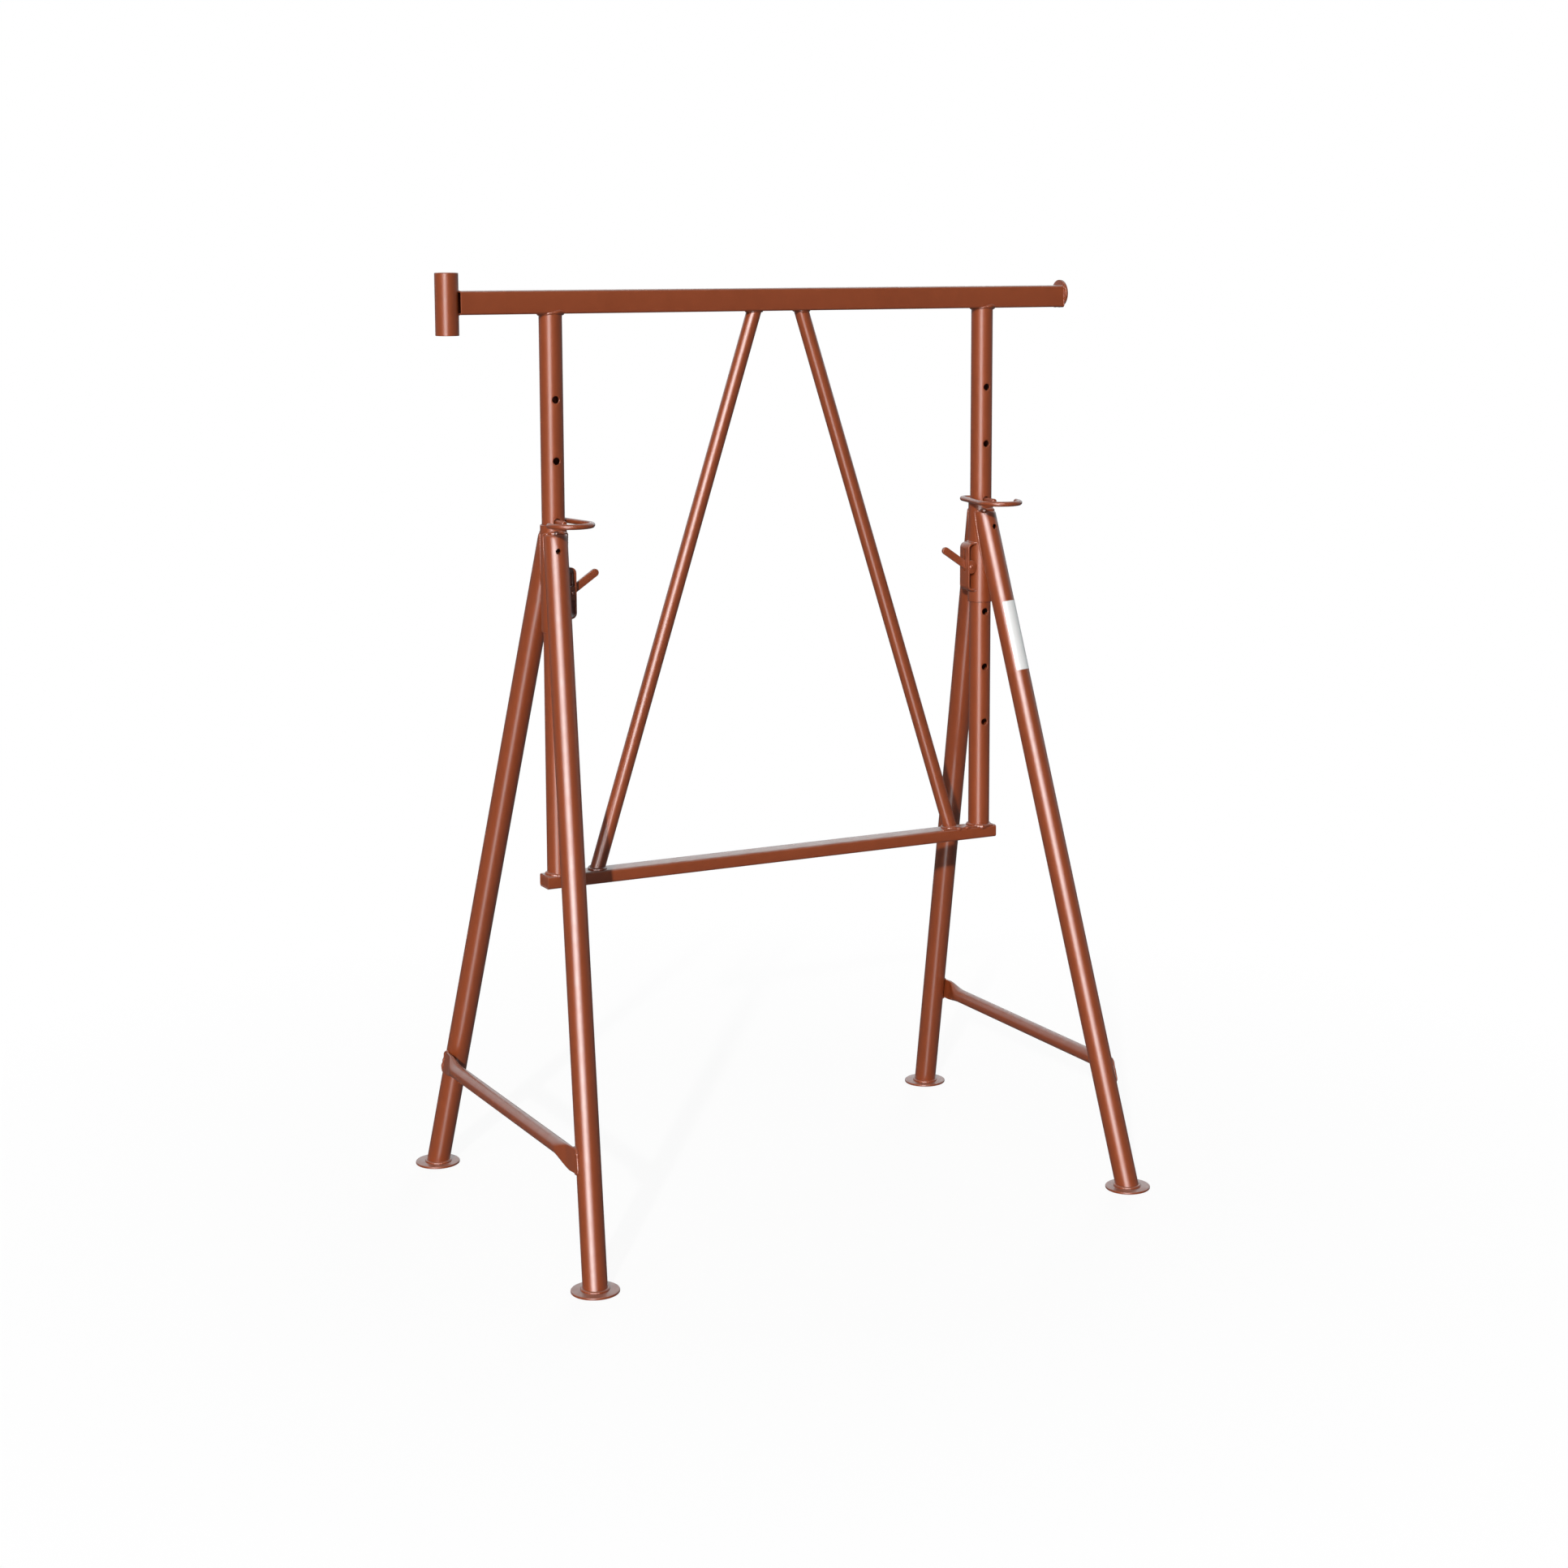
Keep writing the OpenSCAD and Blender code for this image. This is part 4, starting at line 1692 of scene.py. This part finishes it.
    def _pressed(self, ease: float, trim: float, thin: float) -> Outline:
        """The cross brace's section between round and pressed flat.

        Args:
            ease: 0 for the round tube, 1 for the pressed end.
            trim: How much shorter each half of the flat is.
            thin: How much of the flat's outer face is pressed away.

        Returns:
            The outline's points.
        """
        height = self.cross_flat_height - 2 * trim
        flat = box_outline(self.cross_flat, height, self.cross_edge, self.cross_edge_steps)
        inner = -self.cross_flat / 2
        points = []
        for k, (a, b) in enumerate(flat):
            t = 2 * math.pi * (k + 0.5) / len(flat)
            x, y = self.cross_radius * math.cos(t), self.cross_radius * math.sin(t)
            drawn = inner + (a - inner) * (1 - thin / self.cross_flat)
            points.append((x + (drawn - x) * ease, y + (b - y) * ease))
        return points

    def _cross_weld(self, axes: Axes, end: End, far: float, slant: float) -> None:
        """The bead round the pressed end of the cross brace on a leg.

        Args:
            axes: The tube's axes, w along it.
            end: Which end.
            far: Distance of the end from the middle.
            slant: The leg's lean, which the bead follows.
        """
        half, corner = self.cross_flat_height / 2, self.cross_corner
        upper = [(half, far - 2 * corner), (half, far - corner)]
        for drop, back in rounding(self.cross_weld_steps, 1):
            upper.append((half - corner * drop, far - corner * back))
        line = upper + [(-b, y) for b, y in reversed(upper)]
        shift = self._end_shift(end)
        inner = -self.cross_flat / 2 + self.cross_weld_in
        path = [axes.at(inner, b + shift, end.value * (y + slant * (b + shift))) for b, y in line]
        seed = self._seed(self.cross_seed, self.end_seed_steps, end)
        self.add(f"{end.word}_cross_weld", self.cross_weld.bead(path, False, seed), LEG_WELD)


@dataclass
class Clamp(SidePart):
    """The bracket, rivet and cam lever that grip the post."""

    bracket_thickness: float = 3 * MM
    bracket_bend: float = 10 * MM
    bend_steps: int = 10
    strap_bite: float = 4 * MM
    strap_edge: float = 0.7 * MM
    pipe_overrun: float = 5 * MM
    pipe_points: int = 96
    ear_radius: float = 12 * MM
    ear_points: int = 48
    ear_thickness: float = 4 * MM
    ear_inset: float = 1 * MM
    ear_edge: float = 0.5 * MM
    slot_below: float = 9 * MM
    slot_above: float = 31.7 * MM
    slot_gap: float = 0.6 * MM
    slot_corner: float = 1 * MM
    slot_reach: float = 8 * MM
    weld: Weld = Weld(2.3 * MM)
    weld_out: float = 0.6 * MM
    weld_steps: int = 12
    weld_seed: int = 151
    rivet_radius: float = 2.5 * MM
    rivet_play: float = 0.05 * MM
    rivet_points: int = 40
    head_radius: float = 5 * MM
    head_sink: float = 3 * MM
    head_steps: int = 6
    head_least: float = 0.05 * MM
    cam_radius: float = 7 * MM
    cam_throw: float = 1.5 * MM
    cam_lead: float = math.radians(30)
    cam_steps: int = 40
    lever_width: float = 13 * MM
    lever_length: float = 54 * MM
    lever_angle: float = math.radians(34)
    lever_edge: float = 0.9 * MM
    lever_bore_reach: float = 10 * MM
    tip_steps: int = 16

    def __post_init__(self) -> None:
        """Reads the places of the sleeve, the rivet and the lever from the frame."""
        self.pivot = node_middle(self.named("clamp_rivet"))
        self.sleeve_x = node_middle(self.named("sleeve")).x
        self.sleeve_radius = node_depth(self.named("sleeve")) / 2
        self.lever_thickness = node_depth(self.named("clamp_lever"))
        self.pivot_out = abs(self.pivot.x - self.sleeve_x)
        middle = Vector((self.sleeve_x, 0, self.pivot.z))
        self.plane = Axes(middle, X_WAY * self.side.inward, Z_WAY, Y_WAY)

    def build(self) -> None:
        """Builds and dresses the clamp."""
        self.bracket()
        self.rivet()
        self.lever()

    def _bore(self, radius: float, reach: float) -> Mesh:
        """A cutter for a hole about the rivet's axis."""
        outline = circle_outline(radius, BORE_POINTS)
        return prism(Axes.to_front(self.pivot), outline, -reach, reach)

    def bracket(self) -> None:
        """The strap bent over the cam, its two ears, and the beads that hold it."""
        node = self.named("clamp_bracket")
        low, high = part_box(node)
        height, width = high.z - low.z, high.y - low.y
        out = max(abs(low.x - self.sleeve_x), abs(high.x - self.sleeve_x))
        strap = extruded(self.plane, self._strap_outline(out, height / 2), width, self.strap_edge)
        obj = make_object(self.named("clamp_strap"), strap)
        for sign in (-1, 1):
            combine(obj, self._ear(sign, width, out), Change.JOIN)
        pipe = Axes.upright(self.sleeve_x, 0, low.z - self.pipe_overrun)
        outline = circle_outline(self.sleeve_radius, self.pipe_points)
        combine(obj, prism(pipe, outline, 0, height + 2 * self.pipe_overrun), Change.CUT)
        combine(obj, self._bore(self.rivet_radius, width), Change.CUT)
        combine(obj, self._slot_cutter(out), Change.CUT)
        self.dress(obj, self.body, CLAMP_PAINT, node)
        self._bracket_welds(height / 2, width)

    def _strap_outline(self, out: float, half: float) -> Outline:
        """The strap's side view: two short arms and a back, with round bends.

        Args:
            out: The strap's reach from the sleeve's axis.
            half: Half its height.

        Returns:
            The outline's points.
        """
        start = self.sleeve_radius - self.strap_bite
        bend, rise = out - self.bracket_bend, half - self.bracket_bend
        outer = arc((bend, -rise), self.bracket_bend, -QUARTER, 0, self.bend_steps)
        outside = [(start, -half), *outer]
        tight = self.bracket_bend - self.bracket_thickness
        inner = arc((bend, rise), tight, QUARTER, 0, self.bend_steps)
        inside = [(start, half - self.bracket_thickness), *inner]
        points = []
        for part in (outside, inside):
            points += part + [(a, -b) for a, b in reversed(part)]
        return points

    def _ear(self, sign: int, width: float, out: float) -> Mesh:
        """A round cheek between the strap and the sleeve that carries the rivet.

        Args:
            sign: -1 for the front cheek and 1 for the rear one.
            width: The bracket's width.
            out: The strap's reach from the sleeve's axis, which the cheek stays within.

        Returns:
            The mesh.
        """
        limit = out - self.ear_inset
        full = circle_outline(self.ear_radius, self.ear_points)
        outline = [(min(self.pivot_out + a, limit), b) for a, b in full]
        outline = [p for k, p in enumerate(outline) if p != outline[k - 1]]
        origin = self.plane.at(0, 0, sign * (width - self.ear_thickness) / 2)
        return extruded(replace(self.plane, origin=origin), outline, self.ear_thickness, self.ear_edge)

    def _slot_cutter(self, out: float) -> Mesh:
        """A cutter for the slot in the strap's back that the lever comes through.

        Args:
            out: The strap's reach from the sleeve's axis.

        Returns:
            The cutter.
        """
        width = self.lever_thickness + 2 * self.slot_gap
        outline = box_outline(width, self.slot_below + self.slot_above, self.slot_corner)
        middle = self.plane.at(out, (self.slot_above - self.slot_below) / 2, 0)
        return prism(Axes.along_x(*middle), outline, -self.slot_reach, self.slot_reach)

    def _bracket_welds(self, half: float, width: float) -> None:
        """The beads between the strap's two arms and the sleeve.

        Args:
            half: Half the strap's height.
            width: The strap's width.
        """
        turn = math.asin(width / 2 / self.sleeve_radius)
        line = arc((0, 0), self.sleeve_radius + self.weld_out, -turn, turn, self.weld_steps)
        for number, (word, z) in enumerate((("upper", half), ("lower", -half))):
            path = [self.plane.at(a, z, b) for a, b in line]
            bead = self.weld.bead(path, False, self.weld_seed + number + self.side.value)
            self.add(f"clamp_{word}_weld", bead, LEG_WELD)

    def rivet(self) -> None:
        """The rivet that the lever turns on, with a domed head at each end."""
        half = node_depth(self.named("clamp_bracket")) / 2
        start = math.asin(self.head_sink / self.head_radius)
        curve = arc((0, half - self.head_sink), self.head_radius, start, QUARTER, self.head_steps)
        dome = [(self.rivet_radius, half), *((max(r, self.head_least), z) for r, z in curve)]
        profile = [(r, -z) for r, z in reversed(dome)] + dome
        bm = turned(Axes.to_front(self.pivot), profile, self.rivet_points)
        self.add("clamp_rivet_domed", bm, CLAMP_PAINT, "clamp_rivet")

    def lever(self) -> None:
        """The flat lever with its cam and round tip."""
        half = self.lever_width / 2
        turn = math.pi + self.cam_lead - self.lever_angle
        centre = (self.cam_throw * math.cos(turn), self.cam_throw * math.sin(turn))
        upper, lower = (math.asin((edge - centre[1]) / self.cam_radius) for edge in (half, -half))
        outline = arc(centre, self.cam_radius, upper, 2 * math.pi + lower, self.cam_steps)
        outline += arc((self.lever_length, 0), half, -QUARTER, QUARTER, self.tip_steps)
        ca, sa = math.cos(self.lever_angle), math.sin(self.lever_angle)
        raised = [(a * ca - b * sa + self.pivot_out, a * sa + b * ca) for a, b in outline]
        bar = extruded(self.plane, raised, self.lever_thickness, self.lever_edge)
        obj = make_object(self.named("clamp_lever_bar"), bar)
        combine(obj, self._bore(self.rivet_radius + self.rivet_play, self.lever_bore_reach), Change.CUT)
        self.dress(obj, self.named("lever"), CLAMP_PAINT, self.named("clamp_lever"))


@dataclass
class LockPin(SidePart):
    """The round bar bent into a G that holds a leg frame at a hole."""

    radius: float = 4.5 * MM
    points_round: int = 28
    reach: float = 48 * MM
    back: float = 24 * MM
    shank_steps: int = 6
    bend: float = 11 * MM
    bend_steps: int = 14
    loop_radius: float = 36 * MM
    loop_front: float = 66 * MM
    loop_side: float = 2 * MM
    loop_turn: float = math.radians(195)
    loop_steps: int = 44
    nose: float = 1.6 * MM
    nose_radii: Triple = (0.55, 0.8, 0.95)
    nose_places: tuple[float, ...] = (0, 0.25, 0.6, 1)
    tail_places: Triple = (0.4, 0.75, 1.0)

    @property
    def body(self) -> str:
        """The pin's own body."""
        return self.named("pin")

    def build(self) -> None:
        """Builds and dresses the pin."""
        hole = Vector((node_middle(self.named("post")).x, 0, node_middle(self.named("lock_pin")).z))
        place = Axes(hole, X_WAY * self.side.inward, Y_WAY, Z_WAY)
        path = place.ring(self._centre_line(), 0)
        radii = [self.radius] * len(path)
        for k, share in enumerate(self.nose_radii):
            radii[k] = radii[-1 - k] = self.radius * share
        self.add("lock_pin_bar", swept(path, radii, False, self.points_round), PIN_PAINT, "lock_pin")

    def _centre_line(self) -> Outline:
        """The bar's centre line from its free end to the end of the loop.

        Returns:
            The points, in the plane of the loop.
        """
        run, aside = self.back + self.loop_front, self.bend - self.loop_side
        lean = math.asin((self.loop_radius - self.bend) / math.hypot(aside, run)) - math.atan2(aside, run)
        tip, shank = -self.reach, self.back + self.reach
        line = [(0, tip + share * self.nose) for share in self.nose_places]
        line += [(0, tip + shank * k / self.shank_steps) for k in range(1, self.shank_steps)]
        line += arc((self.bend, self.back), self.bend, math.pi, lean, self.bend_steps)
        loop = (self.loop_side, -self.loop_front)
        line += arc(loop, self.loop_radius, lean, lean - self.loop_turn, self.loop_steps)
        (x, y), (before_x, before_y) = line[-1], line[-2]
        scale = self.nose / math.hypot(x - before_x, y - before_y)
        for share in self.tail_places:
            line.append((x + (x - before_x) * scale * share, y + (y - before_y) * scale * share))
        return line


@dataclass(frozen=True)
class Studio:
    """The floor, the light and the camera."""

    image_side: float = 1932
    focal: float = 3445.2
    centre: Pair = (1073.5, 786.1)
    eye: Triple = (-2.1538, -4.2511, 1.6522)
    yaw: float = math.radians(29.0)
    pitch: float = math.radians(8.24)
    roll: float = math.radians(0.07)
    sensor: float = 36
    clip_end: float = 200
    sun_way: Triple = (-0.562, -0.746, 0.358)
    sun_strength: float = 3.0
    sun_size: float = math.radians(1.5)
    sun_colour: Triple = (1.0, 0.97, 0.93)
    far_way: Triple = (0.62, 0.74, 0.25)
    far_strength: float = 1.7
    far_size: float = math.radians(24)
    strip_width: float = 1.5
    strip_height: float = 4.5
    strip_distance: float = 6.0
    strip_lift: float = 1.4
    strip_power: float = 85
    strip_turn: float = math.radians(-32)
    strip_colour: Triple = (0.96, 0.98, 1.0)
    room_colour: Triple = (0.86, 0.96, 1.0)
    room_levels: Pair = (0.14, 0.5)
    room_span: Pair = (-0.3, 0.8)
    dim_level: float = 0.1
    wall_back: Pair = (0.0, 0.8)
    wall_rise: Pair = (-0.02, 0.12)
    lamp_levels: Pair = (6.5, 18.0)
    lamp_rise: Pair = (0.0, 0.2)
    lamp_top: Pair = (0.45, 0.6)
    lamp_width: Pair = (math.radians(1), math.radians(19))
    lamp_widening: Pair = (1.0, 0.5)
    widening_rise: Pair = (0.0, 0.25)
    image_levels: Pair = (0.4, 1.0)
    image_rise: Pair = (-0.75, -0.4)
    floor_radius: float = 40
    floor_segments: int = 96
    floor_drop: float = 0.2 * MM
    floor_bright: float = 0.95
    floor_dim: float = 0.3
    fade_span: Pair = (0.7, 1.9)
    fade_shares: Pair = (0.92, 1.0)

    def build(self) -> None:
        """Makes the camera, the lamps, the world and the floor."""
        bpy.context.scene.view_settings.view_transform = "Standard"
        self._camera()
        self._suns()
        self._strip()
        self._world()
        self._floor()

    def _camera(self) -> None:
        """The photograph's viewpoint."""
        data = bpy.data.cameras.new("photo_camera")
        data.sensor_width = self.sensor
        data.lens = self.focal / self.image_side * self.sensor
        data.shift_x = 0.5 - self.centre[0] / self.image_side
        data.shift_y = self.centre[1] / self.image_side - 0.5
        data.clip_end = self.clip_end
        flat = math.cos(self.pitch)
        forward = Vector((math.sin(self.yaw) * flat, math.cos(self.yaw) * flat, -math.sin(self.pitch)))
        level = Vector((math.cos(self.yaw), -math.sin(self.yaw), 0))
        upright = level.cross(forward)
        right = level * math.cos(self.roll) + upright * math.sin(self.roll)
        up = upright * math.cos(self.roll) - level * math.sin(self.roll)
        camera = bpy.data.objects.new("photo_camera", data)
        camera.matrix_world = Matrix((right, up, -forward)).transposed().to_4x4()
        camera.location = self.eye
        bpy.context.scene.collection.objects.link(camera)
        bpy.context.scene.camera = camera

    @staticmethod
    def _lamp(name: str, kind: str, way: Vector, strength: float, colour: Triple) -> Piece:
        """A lamp that shines back along a direction, and which gloss doesn't see.

        Args:
            name: The lamp's name.
            kind: The lamp's type.
            way: The direction it lies in.
            strength: Its strength.
            colour: Its colour.

        Returns:
            The lamp.
        """
        light = bpy.data.lights.new(name, kind)
        light.energy = strength
        light.color = colour
        lamp = bpy.data.objects.new(name, light)
        lamp.rotation_euler = way.to_track_quat("Z", "Y").to_euler()
        lamp.visible_glossy = False
        bpy.context.scene.collection.objects.link(lamp)
        return lamp

    def _suns(self) -> None:
        """The hard sun, and the wide light from the far side."""
        key = self._lamp("key_light", "SUN", Vector(self.sun_way), self.sun_strength, self.sun_colour)
        key.data.angle = self.sun_size
        far = self._lamp("far_side_light", "SUN", Vector(self.far_way), self.far_strength, self.sun_colour)
        far.data.angle = self.far_size

    def _strip(self) -> None:
        """A tall soft light further to the left, which fills the tubes' left sides."""
        way = Vector((self.sun_way[0], self.sun_way[1], 0)).normalized()
        way.rotate(Matrix.Rotation(self.strip_turn, 3, "Z"))
        strip = self._lamp("strip_light", "AREA", way, self.strip_power, self.strip_colour)
        strip.location = way * self.strip_distance + Z_WAY * self.strip_lift
        strip.data.shape = "RECTANGLE"
        strip.data.size = self.strip_width
        strip.data.size_y = self.strip_height

    def _world(self) -> None:
        """Soft light from all round, and white where the camera sees it.

        Gloss sees a white wall behind the trestle, a dim room, and a tall lamp with its image in the floor.
        """
        world = bpy.data.worlds.new("studio_world")
        bpy.context.scene.world = world
        world.use_nodes = True
        world.cycles.sampling_method = "NONE"
        n = Nodes(world.node_tree)
        n.tree.nodes.clear()
        way = n.add("ShaderNodeTexCoord").outputs["Generated"]
        back = n.vector_math("DOT_PRODUCT", way, (math.sin(self.yaw), math.cos(self.yaw), 0))
        rise = n.vector_math("DOT_PRODUCT", way, Z_WAY)
        wall = n.times(n.spread(back, self.wall_back), n.spread(rise, self.wall_rise))
        gloss = n.plus(self.dim_level, wall, self._lamp_glow(n, way, rise))
        soft = n.spread(back, self.room_span, self.room_levels)
        path = n.add("ShaderNodeLightPath").outputs
        level = n.plus(soft, n.times(n.math("SUBTRACT", gloss, soft), path["Is Glossy Ray"]))
        room = n.add("ShaderNodeBackground", Color=(*self.room_colour, 1), Strength=level)
        white = n.add("ShaderNodeBackground", Color=(1, 1, 1, 1), Strength=1.0)
        seen = n.math("MAXIMUM", path["Is Camera Ray"], path["Is Transmission Ray"])
        n.add("ShaderNodeOutputWorld", Surface=n.mix_shaders(seen, room.outputs[0], white.outputs[0]))

    def _lamp_glow(self, n: Nodes, way: Socket, rise: Socket) -> Socket:
        """The tall lamp at the sun's side, and its fainter image in the floor, by direction.

        Args:
            n: The world's nodes.
            way: The direction.
            rise: Its upward part.

        Returns:
            The level.
        """
        parts = n.add("ShaderNodeSeparateXYZ", Vector=way).outputs
        turn = n.math("ARCTAN2", parts["X"], parts["Y"])
        lamp_turn = math.atan2(self.sun_way[0], self.sun_way[1])
        off = n.math("ABSOLUTE", n.math("SUBTRACT", turn, lamp_turn))
        narrowed = n.times(off, n.spread(rise, self.widening_rise, self.lamp_widening))
        across = n.spread(narrowed, self.lamp_width, (1.0, 0.0))
        lamp = n.spread(rise, self.lamp_rise, self.lamp_levels)
        image = n.spread(rise, self.image_rise, self.image_levels)
        top = n.spread(rise, self.lamp_top, (1.0, 0.0))
        return n.times(across, top, lamp, image)

    def _floor(self) -> None:
        """A pale floor like frosted glass, which keeps a soft shadow and fades into the white behind it.

        A leg frame slid down from the posts stays in sight below it, and light reaches it there.
        """
        bm = bmesh.new()
        bmesh.ops.create_circle(bm, cap_ends=True, segments=self.floor_segments, radius=self.floor_radius)
        floor = make_object("studio_floor", bm)
        floor.location.z = -self.floor_drop
        paint = bpy.data.materials.new("studio_floor_white")
        paint.use_nodes = True
        n = Nodes(paint.node_tree)
        n.tree.nodes.clear()
        distance = n.vector_math("LENGTH", n.add("ShaderNodeTexCoord").outputs["Object"])
        fade = n.spread(distance, self.fade_span, self.fade_shares)
        path = n.add("ShaderNodeLightPath").outputs
        seen = n.math("MAXIMUM", path["Is Camera Ray"], path["Is Transmission Ray"])
        greys = ((level, level, level, 1) for level in (self.floor_bright, self.floor_dim))
        bright, dim = (n.add("ShaderNodeBsdfDiffuse", Color=grey).outputs[0] for grey in greys)
        clear = n.add("ShaderNodeBsdfTransparent").outputs[0]
        felt = n.mix_shaders(path["Is Glossy Ray"], dim, clear)
        above = n.mix_shaders(seen, felt, n.mix_shaders(fade, bright, clear))
        below = n.add("ShaderNodeNewGeometry").outputs["Backfacing"]
        n.add("ShaderNodeOutputMaterial", Surface=n.mix_shaders(below, above, clear))
        floor.data.materials.append(paint)


def main() -> None:
    """Builds the trestle's pieces in order, then the studio."""
    logging.basicConfig(level=logging.INFO, format="%(message)s")
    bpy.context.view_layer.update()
    effects = PaintEffects()
    UpperFrame(effects).build()
    for side in Side:
        LegFrame(effects, side).build()
        Clamp(effects, side).build()
        LockPin(effects, side).build()
    Studio().build()


if __name__ == "__main__":
    main()
